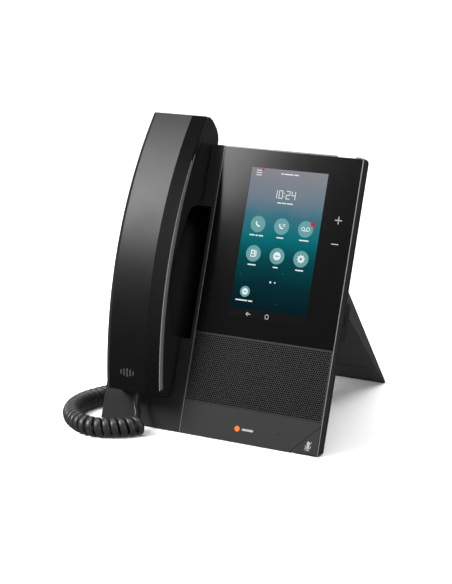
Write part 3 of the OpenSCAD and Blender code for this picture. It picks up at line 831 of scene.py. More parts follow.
def makeStudio(p):
    target = Vector(p["target"])
    for name, direction, distance, width, height, watts in p["softLights"]:
        data = bpy.data.lights.new(name, "AREA")
        data.shape = "RECTANGLE"
        data.size = width
        data.size_y = height
        data.energy = watts
        light = sceneObject(name, data)
        away = Vector(direction).normalized()
        light.location = target + away * distance
        light.rotation_euler = away.to_track_quat("Z", "Y").to_euler()
    data = bpy.data.lights.new("overhead_sun", "SUN")
    data.energy = p["sun"]
    data.angle = math.radians(p["sunAngle"])
    sun = sceneObject("overhead_sun", data)
    sun.rotation_euler = Vector(p["sunFrom"]).to_track_quat("Z", "Y").to_euler()
    side, front, back = p["floorSide"], p["floorFront"], p["floorBack"]
    corners = [(-side, front, 0), (side, front, 0), (side, back, 0), (-side, back, 0)]
    floor = newObject("floor", corners, [(0, 1, 2, 3)])
    paint = newPaint("floor_paper")
    fine = paint.noise(60, 3)
    floor.data.materials.append(paint.surface({
        "Base Color": paint.blendColour(fine, *p["floorTones"]),
        "Roughness": fine * 0.1 + 0.8,
        "Normal": paint.bump(fine, 0.02, 0.0001),
    }))
    floor.visible_glossy = False
    world = bpy.data.worlds.new("studio")
    bpy.context.scene.world = world
    sky = Paint(world, "ShaderNodeOutputWorld")
    dim, bright = [sky.node("ShaderNodeBackground", None, {"Color": (1, 1, 1, 1), "Strength": strength})[0]
                   for strength in (p["sky"], p["background"])]
    seen = sky.node("ShaderNodeLightPath")["Is Camera Ray"]
    sky.finish(sky.node("ShaderNodeMixShader", None, {0: seen, 1: dim, 2: bright})[0])
    bpy.context.scene.view_settings.view_transform = "Standard"


makeStudio(studio)
print("studio lit")

shell = {
    "frameDepth": 5.5,
    "edgeDepth": 9,
    "backDepth": 30,
    "wall": 2.2,
    "cornerRadius": 3,
    "bulgeSide": 6,
    "bulgeSideDepth": 16,
    "bulgeTaper": 6,
    "bulgeTop": 206,
    "topTaper": 12,
    "softness": 0.6,
}

cradle = {
    "wellRadius": 5,
    "wellWall": 1.6,
    "earFloor": -11.5,
    "earFrom": 168.5,
    "mouthFloor": -6,
    "mouthFrom": 23.8,
    "mouthTo": 70.0,
    "fingerDepth": 18,
    "fingerLeft": -74,
    "scoopSteps": 28,
    "gap": 1.0,
    "sleeveRadius": 4.05,
    "sideWall": 0.6,
    "softness": 0.45,
}

outerLow, outerHigh = span("handset_outer_shell")
handMiddle = (outerLow[0] + outerHigh[0]) / 2
handHalf = (outerHigh[0] - outerLow[0]) / 2
plungerLow, plungerHigh = span("hook_plunger")


def shellRing(u0, u1, n, radii=(0, 0, 0, 0)):
    return [(u, v, n) for u, v in boxOutline(u0, bottomAt(n), u1, bodyHeight, radii)]


def fingerCutter(p, grow=0.0):
    # circular scoop under the grip, or the outside of its wall when grown
    chord = (seam - cradleLow[0] - 4) / 2
    depth = p["fingerDepth"]
    radius = (chord ** 2 + depth ** 2) / (2 * depth)
    middle = radius - depth
    radius += grow
    left, right = p["fingerLeft"] - grow, seam - 0.2 - shell["wall"] + grow
    startAngle = math.asin(max(-1, min(1, (left - handMiddle) / radius)))
    endAngle = math.asin(max(-1, min(1, (right - handMiddle) / radius)))
    top = -0.5 if grow else 3
    outline = [(left, top), (right, top)]
    for k in range(p["scoopSteps"] + 1):
        angle = endAngle + (startAngle - endAngle) * k / p["scoopSteps"]
        outline.append((handMiddle + radius * math.sin(angle), middle - radius * math.cos(angle)))
    ends = (p["mouthTo"] - 0.5 - grow, p["earFrom"] + grow)
    return loft("finger_cutter", [[(u, v, n) for u, n in outline] for v in ends])


def wellCutters(p, grow=0.0, top=3.0):
    reach = handHalf + p["gap"] + grow
    left, right = handMiddle - reach, handMiddle + reach
    r = p["wellRadius"] + grow
    ear = boxOutline(left, p["earFrom"] - grow, right, bodyHeight + 6, (r, r, 0, 0))
    mouth = boxOutline(left, p["mouthFrom"] - grow, right, p["mouthTo"] + grow, (r, r, 1.5, 1.5))
    return [plate("ear_cutter", ear, p["earFloor"] - grow, top),
            plate("mouth_cutter", mouth, p["mouthFloor"] - grow, top)]


def inWell(p, centre):
    # true in the wells and the finger channel, false on the face and the outer walls
    u, v, n = centre
    wall = p["sideWall"]
    outside = u < cradleLow[0] + wall or u > seam - 0.8 or v < bottomAt(n) + wall or v > bodyHeight - wall
    return n < -wall and not outside


def makeCradle(p):
    left, right = cradleLow[0], cradleHigh[0]
    radii = (0, 0, 0, shell["cornerRadius"])
    obj = loft("cradle_front", [shellRing(left, right, n, radii) for n in (-shell["frameDepth"], 0)])
    ear, mouth = wellCutters(p, p["wellWall"], -0.5)
    keepInside(ear, block("trimmer", (left, 0, -40), (right, bodyHeight, 10)))
    add(obj, ear, mouth, fingerCutter(p, shell["wall"]))
    cut(obj, *wellCutters(p), fingerCutter(p))
    cut(obj, rod("sleeve_bore", handMiddle, (plungerLow[1] + plungerHigh[1]) / 2, -20, 0, p["sleeveRadius"]))
    soften(obj, p["softness"], 3)
    paintOver(obj, "cradleBlack")
    # faces in the wells and the finger channel take the darker copy: painted shade in the recesses
    obj.data.materials.append(finishes["wellBlack"])
    for face in obj.data.polygons:
        if inWell(p, face.center):
            face.material_index = 1
    place(obj, "base", "body_black", ["cradle_housing"])


rear = {
    "jacks": ("network_jack", "computer_jack", "headset_jack", "handset_jack", "usb_port"),
    "screws": ((-71, 186), (70, 184), (-71, 17), (-17, 17), (70, 18)),
    "screwRadius": 3.2,
    "screwDepth": 1.2,
    "lockLeft": 77,
    "lockMiddle": 98.5,
    "lockHalf": 14.5,
    "lockDepth": 24,
    "lockSlotHalf": 3.6,
    "lockSlotDepths": (-18.2, -15),
}

vents = {"count": 12, "pitch": 5.0, "width": 2.0, "height": 16, "middle": 178, "depth": 1.2}


def bulgeRings(inset, deep):
    # the rear bulge, from the rim back to its narrower face
    half = halfWidth - shell["bulgeSide"] - inset
    top = shell["bulgeTop"] - inset
    edge, side = shell["edgeDepth"], shell["bulgeSideDepth"]

    def topAt(depth):
        return top - shell["topTaper"] * (depth - edge) / (shell["backDepth"] - edge)

    rows = [(6, half, top, 2), (edge, half, top, 3), (side, half, topAt(side), 5),
            (deep, half - shell["bulgeTaper"], topAt(deep), 8)]
    rings = []
    for depth, wide, high, r in rows:
        outline = boxOutline(-wide, bottomAt(-depth) + inset, wide, high, (0, 0, r, r))
        rings.append([(u, v, -depth) for u, v in outline])
    return rings


def jackCutter(jack):
    low, high = span(jack)
    outline = boxOutline(low[0] - 0.1, low[1] - 0.1, high[0] + 0.1, high[1] + 0.1, 0.4)
    return plate("jack_cutter", outline, low[2] - 2, high[2])


def ventCutters(p):
    # a row of shallow slots near the top of the back
    back = -shell["backDepth"]
    half, tall = p["width"] / 2, p["height"] / 2
    out = []
    for i in range(p["count"]):
        u = (i - (p["count"] - 1) / 2) * p["pitch"]
        outline = boxOutline(u - half, p["middle"] - tall, u + half, p["middle"] + tall, p["width"] * 0.48)
        out.append(plate("vent", outline, back - 1, back + p["depth"]))
    return out


def makeRear(p):
    depth, back, wall = shell["edgeDepth"], -shell["backDepth"], shell["wall"]
    rim = [shellRing(-halfWidth, halfWidth, n, (0, 0, 3, 3)) for n in (-depth, -shell["frameDepth"] - 0.1)]
    obj = loft("rear_cover", rim)
    lockV, half = p["lockMiddle"], p["lockHalf"]
    boss = boxOutline(p["lockLeft"], lockV - half, halfWidth - 3.5, lockV + half, (0, 4, 4, 0))
    add(obj, loft("bulge", bulgeRings(0, -back)))
    add(obj, plate("lock_boss", boss, -p["lockDepth"], -depth))
    inside = boxOutline(-halfWidth + wall, bottomAt(-depth) + wall, halfWidth - wall, bodyHeight - wall, 1)
    cut(obj, loft("inner", bulgeRings(wall, -back - wall)))
    cut(obj, plate("inner_rim", inside, -depth + wall, 0))
    cut(obj, *wellCutters(cradle, cradle["wellWall"] + 0.15, 5))
    slot, (slotBack, slotFront) = p["lockSlotHalf"], p["lockSlotDepths"]
    cutters = [jackCutter(jack) for jack in p["jacks"]]
    cutters.append(block("lock_cutter", (p["lockLeft"], lockV - slot, slotBack),
                         (halfWidth + 2, lockV + slot, slotFront)))
    for u, v in p["screws"]:
        cutters.append(rod("screw_cutter", u, v, back - 2, back + p["screwDepth"], p["screwRadius"], 24))
    cut(obj, *cutters, *ventCutters(vents))
    soften(obj, shell["softness"], 3, 30)
    paintOver(obj, "rearBlack")
    place(obj, "base", "body_grey", ["rear_housing"])


muteKey = {
    "leg": 20.6,
    "corner": 1.3,
    "gap": 0.4,
    "thickness": 2.5,
    "softness": 0.3,
    "markMiddle": 82.4,
    "stroke": 0.45,
}


def keyOutline(p, grow, drop=0.0):
    # the triangle in the body's corner, grown for its hole and dropped past the edge for the cut
    right, bottom = span("mute_key")[1][0] + grow, p["corner"] - grow
    leg = p["leg"] + (2 + math.sqrt(2)) * grow
    return [(right, bottom - drop), (right, bottom + leg), (right - leg - drop, bottom - drop)]


def keyCutter():
    return plate("key_hole", keyOutline(muteKey, muteKey["gap"], 6), -8, 3)


def makeMuteKey(p):
    body = loft("mute_button", [
        [(u, max(v, bottomAt(n) + 0.25), n) for u, v in keyOutline(p, 0)] for n in (-p["thickness"], 0)
    ])
    soften(body, p["softness"], 2)
    paintOver(body, "bodyGrey")
    u, stroke = p["markMiddle"], p["stroke"]
    marks = [
        capsule(u, 9.3, u, 6.6, 1.15),
        ribbon(arcPoints(u, 7.3, 2.2, 180, 360), stroke),
        ribbon([(u, 5.1), (u, 4.1)], stroke),
        ribbon([(u - 1.4, 4.1), (u + 1.4, 4.1)], stroke),
        ribbon([(u - 2.5, 4.4), (u + 2.5, 10.2)], stroke + 0.05),
    ]
    icon = paintOver(flatShapes("mute_mark", marks, 0.03), "ink")
    place(join("mute_button", [body, icon]), "mute", "body_grey", ["mute_key"])


front = {
    "glassGap": 0.12,
    "pocketDepth": 2.0,
    "softness": 0.32,
    "rimBelow": 0.34,
    "rimFrom": 25,
    "glassCorners": (0.4, 0.4, 2, 0.4),
    "glassSoftness": 0.25,
}


def makeFrontFrame(p):
    radii = (0, 0, shell["cornerRadius"], 0)
    rings = [shellRing(frontLow[0], halfWidth, n, radii) for n in (-shell["frameDepth"], 0)]
    obj = loft("front_rim", rings)
    low, high = span("front_glass")
    pocket = boxOutline(low[0] - p["glassGap"], -3, high[0] + p["glassGap"], high[1] + 0.15, (0, 0, 2, 0.2))
    cut(obj, plate("pocket", pocket, -p["pocketDepth"], 3))
    cut(obj, keyCutter())
    low, high = span("light_pipe")
    cut(obj, block("pipe_hole", (low[0] - 0.2, low[1] - 0.2, -8), (high[0] + 0.2, high[1] + 0.1, 3)))
    soften(obj, p["softness"], 2)
    paintOver(obj, "edgeGrey")
    # front-facing faces of the rim above rimFrom take the light grey: a painted highlight line round the
    # glass and grille
    obj.data.materials.append(finishes["rimGrey"])
    for face in obj.data.polygons:
        if face.center.z > -p["rimBelow"] and face.center.y > p["rimFrom"]:
            face.material_index = 1
    place(obj, "base", "body_black", ["front_frame"])


def makeGlass(p):
    low, high = span("front_glass")
    outline = boxOutline(low[0], low[1], high[0], high[1], p["glassCorners"])
    obj = plate("glass_sheet", outline, low[2], high[2])
    soften(obj, p["glassSoftness"], 2)
    paintOver(obj, "glass")
    place(obj, "base", "display_glass", ["front_glass"])


grille = {
    "pitch": 1.75,
    "rowPitch": 1.45,
    "hole": 0.70,
    "sides": 8,
    "depth": 0.7,
    "taper": 0.8,
    "margin": 1.3,
}


def makeGrille(p):
    # a plate with staggered blind holes, cut in the flat and then given depth
    low, high = span("speaker_grille")
    u0, v0, u1, v1 = low[0], low[1], high[0], high[1]
    n = high[2]
    points = [Vector((u0, v0)), Vector((u1, v0)), Vector((u1, v1)), Vector((u0, v1))]
    edges = [(0, 1), (1, 2), (2, 3), (3, 0)]
    rings = []
    rows = int((v1 - v0 - 2 * p["margin"]) / p["rowPitch"]) + 1
    rowStart = (v0 + v1) / 2 - (rows - 1) / 2 * p["rowPitch"]
    for row in range(rows):
        shift = p["pitch"] / 2 if row % 2 else 0
        columns = int((u1 - u0 - 2 * p["margin"] - shift) / p["pitch"]) + 1
        for column in range(columns):
            u = u0 + p["margin"] + shift + column * p["pitch"]
            start = len(points)
            v = rowStart + row * p["rowPitch"]
            for k in range(p["sides"]):
                angle = math.tau * (k + 0.5) / p["sides"]
                points.append(Vector((u + p["hole"] * math.cos(angle), v + p["hole"] * math.sin(angle))))
            ring = list(range(start, start + p["sides"]))
            edges += [(ring[k], ring[(k + 1) % len(ring)]) for k in range(len(ring))]
            rings.append(ring)
    places, _, triangles, sources = delaunay_2d_cdt(points, edges, [], 0, 1e-5)[:4]
    spot = {}  # where each drawn point went
    for i, origins in enumerate(sources):
        for origin in origins:
            spot[origin] = i
    owner = {}
    for index, ring in enumerate(rings):
        for k in ring:
            owner[spot[k]] = index
    verts = [(q.x, q.y, n) for q in places]
    faces = [tuple(t) for t in triangles
             if not (t[0] in owner and owner.get(t[0]) == owner.get(t[1]) == owner.get(t[2]))]
    holeFaces = []
    for ring in rings:
        top = [spot[k] for k in ring]
        start = len(verts)
        middle = sum((Vector(verts[k]) for k in top), Vector()) / len(top)
        for k in top:
            inward = (Vector(verts[k]) - middle) * p["taper"]
            verts.append(tuple(middle + inward - Vector((0, 0, p["depth"]))))
        for k in range(len(top)):
            m = (k + 1) % len(top)
            holeFaces.append((top[m], top[k], start + k, start + m))
        holeFaces.append(tuple(range(start, start + len(top))))
    # sides and back of the plate
    corner = [spot[k] for k in range(4)]
    start = len(verts)
    for k in corner:
        verts.append((verts[k][0], verts[k][1], low[2]))
    sides = [(corner[k], corner[(k + 1) % 4], start + (k + 1) % 4, start + k) for k in range(4)]
    back = [tuple(range(start, start + 4))]
    obj = newObject("grille_plate", verts, faces + sides + back + holeFaces)
    outwardNormals(obj)
    obj.data.materials.append(finishes["grille"])
    obj.data.materials.append(finishes["hole"])
    # the walls and floors of the blind holes take the near black: painted shade in the holes
    plain = len(faces) + 5
    for face in obj.data.polygons[plain:]:
        face.material_index = 1
    obj.data.shade_flat()
    place(obj, "base", "grille_plate", ["speaker_grille"])
    print("grille holes", len(rings))


trim = {"micHoles": (0, 58), "micMiddle": 12, "micRadius": 0.5, "thickness": 2, "softness": 0.28}


def makeTrim(p):
    low, high = span("lower_trim")
    rings = []
    for n in (-p["thickness"], 0):
        rings.append([(u, v, n) for u, v in boxOutline(low[0], bottomAt(n), high[0], high[1], 0)])
    obj = loft("lower_panel", rings)
    cut(obj, keyCutter())
    cut(obj, *[rod("mic_hole", u, p["micMiddle"], -5, 3, p["micRadius"], 12) for u in p["micHoles"]])
    soften(obj, p["softness"], 2)
    paintOver(obj, "bodyGrey")
    place(obj, "base", "body_grey", ["lower_trim"])


# flat marks are closed outlines on the face


def arcPoints(u, v, r, a0, a1, steps=14):
    angles = [math.radians(a0 + (a1 - a0) * k / steps) for k in range(steps + 1)]
    return [(u + r * math.cos(a), v + r * math.sin(a)) for a in angles]


def ribbon(line, width):
    # outline of a stroke of that width along a line
    points = [Vector(p) for p in line]
    left, right = [], []
    for i, p in enumerate(points):
        ahead = (points[min(i + 1, len(points) - 1)] - points[max(i - 1, 0)]).normalized()
        side = Vector((-ahead.y, ahead.x)) * width / 2
        left.append(tuple(p + side))
        right.append(tuple(p - side))
    return left + right[::-1]


def capsule(u0, v0, u1, v1, r):
    a = Vector((u0, v0))
    b = Vector((u1, v1))
    facing = math.degrees(math.atan2(b.y - a.y, b.x - a.x))
    far = arcPoints(b.x, b.y, r, facing - 90, facing + 90, 10)
    return far + arcPoints(a.x, a.y, r, facing + 90, facing + 270, 10)


def flatShapes(name, outlines, n, thick=0.04):
    # thin raised prints: a top face and a skirt, open underneath where they meet the sheet
    verts, faces = [], []
    for outline in outlines:
        start = len(verts)
        count = len(outline)
        verts += [(u, v, n) for u, v in outline] + [(u, v, n - thick) for u, v in outline]
        faces.append(tuple(range(start, start + count)))
        faces.append(tuple(range(start + 2 * count - 1, start + count - 1, -1)))
        for k in range(count):
            m = (k + 1) % count
            faces.append((start + k, start + count + k, start + count + m, start + m))
    return outwardNormals(newObject(name, verts, faces))


screenLayout = {
    "left": 3.04, "right": 65.14, "low": 90.58, "high": 200.98,
    "barTop": 97.4,
    "level": -0.04,
    "iconRadius": 6.0,
    "columns": (15.1, 34.5, 53.9),
    "rows": (159.7, 138.0),
    "labelDrop": 8.3,
    "labels": (((4.2, 2.0, 3.6), (5.6,), (7.6,)), ((6.6,), (4.0,), (6.4,))),
    "menu": (7.2, 11.8, 199.0, 1.7),
    "clock": ("10:24", 33.2, 180.0, 5.6, 0.52),
    # middle, widths, height and gap of the rows of dashes that stand for words
    "dashes": [
        (34.6, 197.8, (2.0, 7.4, 3.6), 0.8, 0.7),
        (34.4, 176.6, (3.2, 3.2, 5.2), 0.8, 0.6),
        (13.4, 103.2, (9.6, 3.6), 0.9, 0.7),
    ],
    "pageDots": ((32.5, 118.6, 0.75), (36.1, 118.7, 0.6)),
    "lineKey": (13.2, 109.7),
    "alert": (59.2, 163.8, 1.9),
    # strokes along the bar under the picture
    "barStrokes": [
        ([(17.0, 93.7), (20.4, 93.7)], 0.4),
        ([(18.4, 95.0), (17.0, 93.7), (18.4, 92.4)], 0.4),
        ([(32.4, 93.9), (34.0, 95.3), (35.6, 93.9)], 0.35),
        ([(32.8, 93.6), (32.8, 92.0), (35.2, 92.0), (35.2, 93.6)], 0.35),
    ],
}


def phoneGlyph(u, v, size):
    return ribbon(arcPoints(u + size * 0.45, v + size * 0.45, size, 165, 285, 12), size * 0.42)


def gearGlyph(u, v, r):
    out = []
    teeth = 8
    for k in range(teeth * 4):
        angle = math.tau * (k + 0.5) / (teeth * 4)
        reach = r if k % 4 < 2 else r * 0.74
        out.append((u + reach * math.cos(angle), v + reach * math.sin(angle)))
    return out


def labelDashes(u, v, widths, height=0.9, gap=0.7):
    total = sum(widths) + gap * (len(widths) - 1)
    left = u - total / 2
    out = []
    for width in widths:
        out.append(boxOutline(left, v - height / 2, left + width, v + height / 2, height * 0.3))
        left += width + gap
    return out


def digitStrokes(text, u, v, height, stroke):
    # plain numerals for the clock, drawn as strokes on a seven-part grid
    parts = {"0": "abcdef", "1": "bc", "2": "abged", "3": "abgcd", "4": "fgbc", "5": "afgcd",
             "6": "afgedc", "7": "abc", "8": "abcdefg", "9": "abcdfg"}
    w, h = height * 0.48, height
    bars = {
        "a": ((0, h), (w, h)), "b": ((w, h), (w, h / 2)), "c": ((w, h / 2), (w, 0)),
        "d": ((0, 0), (w, 0)), "e": ((0, 0), (0, h / 2)), "f": ((0, h / 2), (0, h)),
        "g": ((0, h / 2), (w, h / 2)),
    }
    step = height * 0.80
    total = sum(step * 0.5 if c == ":" else step for c in text) - step + w
    x = u - total / 2
    out = []
    for c in text:
        if c == ":":
            x -= step * 0.12
            out += [circle(x, v + h * 0.3, stroke * 0.7, 10), circle(x, v + h * 0.7, stroke * 0.7, 10)]
            x += step * 0.42
            continue
        for part in parts[c]:
            (ax, ay), (bx, by) = bars[part]
            out.append(capsule(x + ax, v + ay, x + bx, v + by, stroke / 2))
        x += step
    return out


def makeScreen(p):
    level = p["level"]
    left, right, barTop = p["left"], p["right"], p["barTop"]
    picture = plate("screen_picture", boxOutline(left, barTop, right, p["high"], 0), level - 0.05, level)
    place(paintOver(picture, "screen"), "base", "screen")
    bar = plate("screen_bar", boxOutline(left, p["low"], right, barTop, 0), level - 0.05, level)
    paintOver(bar, "black")
    c0, c1, c2 = p["columns"]
    r0, r1 = p["rows"]
    discs = [circle(u, v, p["iconRadius"], 40) for v in p["rows"] for u in p["columns"]]
    white = [phoneGlyph(c0, r0, 2.6), phoneGlyph(c1 - 0.4, r0, 2.4)]
    for rise in (1.8, 0.6):
        white.append(ribbon([(c1 + 0.6, r0 + rise), (c1 + 2.8, r0 + rise)], 0.5))
    for side in (-1.9, 1.9):
        white.append(ribbon(arcPoints(c2 + side, r0, 1.25, 0, 360, 20), 0.5))
    white.append(ribbon([(c2 - 1.9, r0 - 1.25), (c2 + 1.9, r0 - 1.25)], 0.5))
    white.append(boxOutline(c0 - 2.2, r1 - 2.6, c0 + 1.4, r1 + 2.6, 0.5))
    white.append(boxOutline(c0 + 1.8, r1 - 2.2, c0 + 2.5, r1 + 2.2, 0.2))
    white += [circle(c1, r1, 3.0, 28), gearGlyph(c2, r1, 3.1)]
    for v, row in zip(p["rows"], p["labels"]):
        for u, widths in zip(p["columns"], row):
            white += labelDashes(u, v - p["labelDrop"], widths)
    menuLeft, menuRight, menuTop, menuStep = p["menu"]
    for k in range(3):
        v = menuTop - k * menuStep
        white.append(ribbon([(menuLeft, v), (menuRight, v)], 0.55))
    for dashes in p["dashes"]:
        white += labelDashes(*dashes)
    white += digitStrokes(*p["clock"])
    white += [circle(u, v, r, 14) for u, v, r in p["pageDots"]]
    keyU, keyV = p["lineKey"]
    white.append(circle(keyU, keyV, 2.4, 24))
    discs.append(circle(keyU, keyV, 4.0, 32))
    red = [circle(*p["alert"], 22), boxOutline(11.4, menuTop, 13.2, menuTop + 1.7, 0.5)]
    white += [ribbon(line, width) for line, width in p["barStrokes"]]
    inner = [
        boxOutline(c1 - 1.7, r1 - 0.4, c1 + 1.7, r1 + 0.4, 0.2), circle(c2, r1, 1.1, 18),
        boxOutline(keyU - 1.3, keyV - 0.4, keyU + 1.3, keyV + 0.4, 0.2), circle(c0 - 0.4, r1 + 0.9, 0.9, 14),
        boxOutline(c0 - 1.7, r1 - 1.8, c0 + 0.9, r1 - 0.4, 0.4),
    ]
    layers = [
        ("screen_discs", discs, 0.02, "icon"), ("screen_white", white, 0.05, "white"),
        ("screen_red", red, 0.07, "red"), ("screen_dark", inner, 0.08, "icon"),
    ]
    marks = [bar]
    for name, shapes, rise, finish in layers:
        marks.append(paintOver(flatShapes(name, shapes, level + rise), finish))
    place(join("screen_marks", marks), "base", "screen")


prints = {
    "volumeLevel": -0.05,
    "volumeStrokes": [
        [(75.8, 168.6), (81.3, 168.6)], [(78.55, 165.85), (78.55, 171.35)], [(75.7, 151.4), (81.3, 151.4)],
    ],
    "volumeWidth": 0.62,
    "badgeLevel": 0.03,
    "badgeDot": (24.5, 10.6, 2.0),
    "badgeBar": (28.4, 9.8, 37.8, 11.4, 0.8),
}


def makePrints(p):
    volume = [ribbon(line, p["volumeWidth"]) for line in p["volumeStrokes"]]
    marks = paintOver(flatShapes("volume_marks", volume, p["volumeLevel"]), "ink")
    dot = paintOver(flatShapes("badge_dot", [circle(*p["badgeDot"], 28)], p["badgeLevel"]), "orange")
    bar = paintOver(flatShapes("badge_bar", [boxOutline(*p["badgeBar"])], p["badgeLevel"]), "ink")
    place(join("face_marks", [marks, dot, bar]), "base", "body_grey")


makeCradle(cradle)
makeRear(rear)
makeFrontFrame(front)
makeGlass(front)
makeGrille(grille)
makeTrim(trim)
makeMuteKey(muteKey)
makeScreen(screenLayout)
makePrints(prints)
print("body made")

handset = {
    "radius": 295,
    "archMiddle": 124,
    "archTop": 42,
    "flatHalf": 15.5,
    "slope": 7.6,
    "parting": 9.0,
    "ridge": 13.3,
    "crown": 19.0,
    "low": 24.7,
    "stations": 48,
    "backEnds": (8, 248),
    "backTop": [(231.5, 60), (231.8, 22), (233.2, 13), (233.4, -30)],
    "topEnd": 232.2,
    "topSteps": 40,
    # v, n and rounding of the inner shell's side view, from the mouth end to the ear end
    "grip": [
        (67.4, -5.2, 2.5), (69.4, -3, 0.6), (69.4, 8, 2), (70.5, 12.5, 1), (73.5, 15.5, 3), (80.5, 18.6, 8),
        (93.5, 24, 20), (105.5, 27, 20), (118, 27.9, 20), (127, 26.6, 20), (135.5, 24, 20), (149, 19.7, 20),
        (157.5, 17, 8), (165, 13.5, 4), (167.5, 7, 3), (168.9, 0, 1), (168.9, -6, 0.5), (172, -10.6, 1.5),
        (219.6, -10.6, 2), (223.5, -9, 2), (227.4, -5.4, 4), (230.4, -1, 4), (232.6, 3.4, 4),
        (233.7, 7.7, 3), (233.5, 13, 2),
    ],
    "mouthEdge": -5.2,
    "crownEnds": (74, 167),
    "crownSteps": 30,
    "screws": (84, 158),
    "inset": 0.12,
    "partingGap": 0.35,
    "crownEdge": 0.35,
    "crownStep": 1.2,
    "backSoftness": 0.65,
    "frontSoftness": 0.5,
    "socketHalf": 5.1,
    "socketDepths": (5.3, 14.7),
    "markHeights": (2.6, 4.2, 5.6, 4.2, 2.6),
    "markPitch": 2.6,
    "markMiddle": 38,
}


def archPoint(v, drop):
    # a point that lies drop below the outer face at the place v along it
    p = handset
    angle = math.asin((v - p["archMiddle"]) / p["radius"])
    r = p["radius"] - drop
    return p["archMiddle"] + r * math.sin(angle), p["archTop"] - p["radius"] + r * math.cos(angle)


def archN(v, drop):
    # height above the face of the surface that lies drop below the outer face
    p = handset
    return p["archTop"] - p["radius"] + math.sqrt((p["radius"] - drop) ** 2 - (v - p["archMiddle"]) ** 2)


def archRing(v, section):
    ring = []
    for side, drop in section:
        along, height = archPoint(v, drop)
        ring.append((handMiddle + side, along, height))
    return ring


def makeOuterShell(p):
    wide, flat = handHalf, p["flatHalf"]
    section = [(-wide, p["parting"]), (-wide, p["slope"]), (-flat, 0)]
    section += [(-side, drop) for side, drop in section[::-1]]
    start, end = p["backEnds"]
    rings = [archRing(start + (end - start) * k / p["stations"], section) for k in range(p["stations"] + 1)]
    obj = loft("handset_back", rings)
    ends = [(p["low"], -30), (p["low"], 60)] + p["backTop"]
    keepInside(obj, sideways("ends", ends, handMiddle - 40, handMiddle + 40))
    soften(obj, p["backSoftness"], 4, 16)
    paintOver(obj, "handsetBlack")
    marks = []
    for k, tall in enumerate(p["markHeights"]):
        u = handMiddle + (k - 2) * p["markPitch"]
        marks.append(capsule(u, p["markMiddle"] - tall / 2, u, p["markMiddle"] + tall / 2, 0.42))
    bars = flatShapes("handset_mark", marks, 0)
    for vert in bars.data.vertices:
        vert.co.z += archN(vert.co.y, 0) + 0.03
    paintOver(bars, "faintInk")
    place(join("handset_back", [obj, bars]), "handset", "handset_black", ["handset_outer_shell"])


def makeInnerShell(p):
    inner = handHalf - p["inset"]
    low = p["low"]
    top = []
    for k in range(p["topSteps"] + 1):
        v = p["topEnd"] - (p["topEnd"] - low) * k / p["topSteps"]
        top.append((v, archN(v, p["parting"] + p["partingGap"])))
    grip = top[1:-1] + rounded([
        (*top[-1], 0), (low, p["mouthEdge"], 2.5), *p["grip"], (*top[0], 0),
    ], 4)
    obj = sideways("handset_front", grip, handMiddle - inner, handMiddle + inner)
    # rounded corners of the mouth end, seen from the front
    left, right = handMiddle - handHalf, handMiddle + handHalf
    plan = rounded([(left, low - 1, 4), (right, low - 1, 4), (right, 240, 0), (left, 240, 0)])
    keepInside(obj, plate("plan", plan, -20, 60))
    # crowned underside of the grip
    flat, steps = p["flatHalf"] - 3, p["crownSteps"]
    start, end = p["crownEnds"]
    rings = []
    for k in range(steps + 1):
        v = start + (end - start) * k / steps
        ease = min(1, min(k, steps - k) / 5) ** 0.5
        drop = p["ridge"] + (p["crown"] - p["ridge"]) * (p["crownEdge"] + (1 - p["crownEdge"]) * ease)
        section = [(-inner, p["parting"] + 1), (-inner, p["ridge"]), (-flat - 4, drop - p["crownStep"])]
        section.append((-flat + 4, drop))
        section += [(-side, under) for side, under in section[::-1]]
        rings.append([(handMiddle + side, v, archN(v, under)) for side, under in section])
    add(obj, loft("crown", rings))
    half, (socketBack, socketFront) = p["socketHalf"], p["socketDepths"]
    cut(obj, block("socket_hole", (handMiddle - half, 0, socketBack),
                   (handMiddle + half, low + 5, socketFront)))
    for v in p["screws"]:
        cut(obj, rod("screw_hole", handMiddle, v, 0, archN(v, p["crown"]) + 6, 2.6, 24))
    for grilleName, deep, shallow, r, sides in (("ear_grille", -14, -9.2, 11.1, 40),
                                                ("mouth_grille", -9, -3.8, 7.1, 32)):
        grilleLow, grilleHigh = span(grilleName)
        middle = (grilleLow[1] + grilleHigh[1]) / 2
        cut(obj, rod("grille_hole", handMiddle, middle, deep, shallow, r, sides))
    soften(obj, p["frontSoftness"], 3, 26)
    paintOver(obj, "handsetSide")
    place(obj, "handset", "handset_black", ["handset_inner_shell"])


sideBand = {
    # name, finish, first and last v, upper and lower edge under the outer face, how proud it stands
    "bands": [
        ("lip_highlight_band", "handsetLip", 25.6, 200, 8.1, 9.15, 0.10),
        ("ridge_highlight_band", "handsetBand", 25.6, 206, 9.65, 13.2, 0.14),
    ],
    "steps": 44,
    "fade": 60,
    "thinnest": 0.35,
    "sunk": 0.6,
}


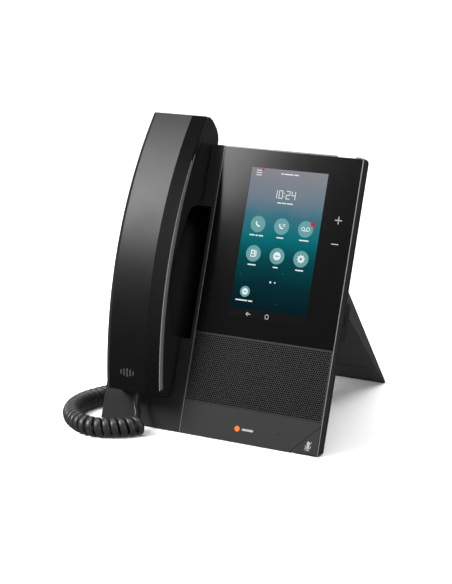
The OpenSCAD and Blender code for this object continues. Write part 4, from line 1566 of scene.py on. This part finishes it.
def makeSideBands(p):
    # light grey strips where the two mouldings meet, along both sides of the grip: painted highlights,
    # narrowing towards the ear end
    for name, finish, v0, v1, upper, lower, proud in p["bands"]:
        sides = []
        for side in (-1, 1):
            edge, out, back = side * handHalf, side * (handHalf + proud), side * (handHalf - p["sunk"])
            rings = []
            for k in range(p["steps"] + 1):
                v = v0 + (v1 - v0) * k / p["steps"]
                fade = min(1, (v1 - v) / p["fade"])
                low = upper + (lower - upper) * (p["thinnest"] + (1 - p["thinnest"]) * fade)
                roll = min(0.5, (low - upper) * 0.3)
                section = [(back, upper), (edge, upper), (out, upper + roll), (out, low - roll)]
                rings.append(archRing(v, section + [(edge, low), (back, low)]))
            sides.append(paintOver(loft(name, rings), finish))
        place(join(name, sides), "handset", "handset_black")


makeOuterShell(handset)
makeInnerShell(handset)
makeSideBands(sideBand)
print("handset made")

# the CAD pieces that stay, by finish
kept = {
    "bodyGrey": ["stand_brackets"],
    "stand": ["stand_leg", "stand_cover"],
    "rubber": ["body_feet", "stand_foot_rubber"],
    "steel": ["case_screws", "handset_screws", "stand_pins", "hook_spring", "network_jack", "computer_jack",
              "usb_port", "loudspeaker", "ear_receiver", "handset_weight"],
    "jackBlack": ["headset_jack", "handset_jack", "handset_socket", "mute_switch", "desk_mics",
                  "handset_mic"],
    "bodyBlack": ["hook_plunger", "ear_grille", "mouth_grille"],
    "clear": ["handset_plug", "base_plug", "message_led"],
    "guide": ["light_pipe"],
    "board": ["main_board", "jack_board", "hook_switch"],
    "black": ["display_panel", "display_backlight"],
}

# how much the edges of some of them are rounded, in metres
softKept = {
    "stand_leg": 0.0007, "stand_cover": 0.0005, "stand_foot_rubber": 0.0004, "stand_brackets": 0.0005,
    "body_feet": 0.0004, "light_pipe": 0.00015, "case_screws": 0.0002, "stand_pins": 0.0003,
    "hook_plunger": 0.0004, "network_jack": 0.0002, "computer_jack": 0.0002,
}
for finish, names in kept.items():
    for name in names:
        paintOver(nodes[name], finish)
        if name in softKept:
            roundKept(nodes[name], softKept[name])
print("kept pieces painted")
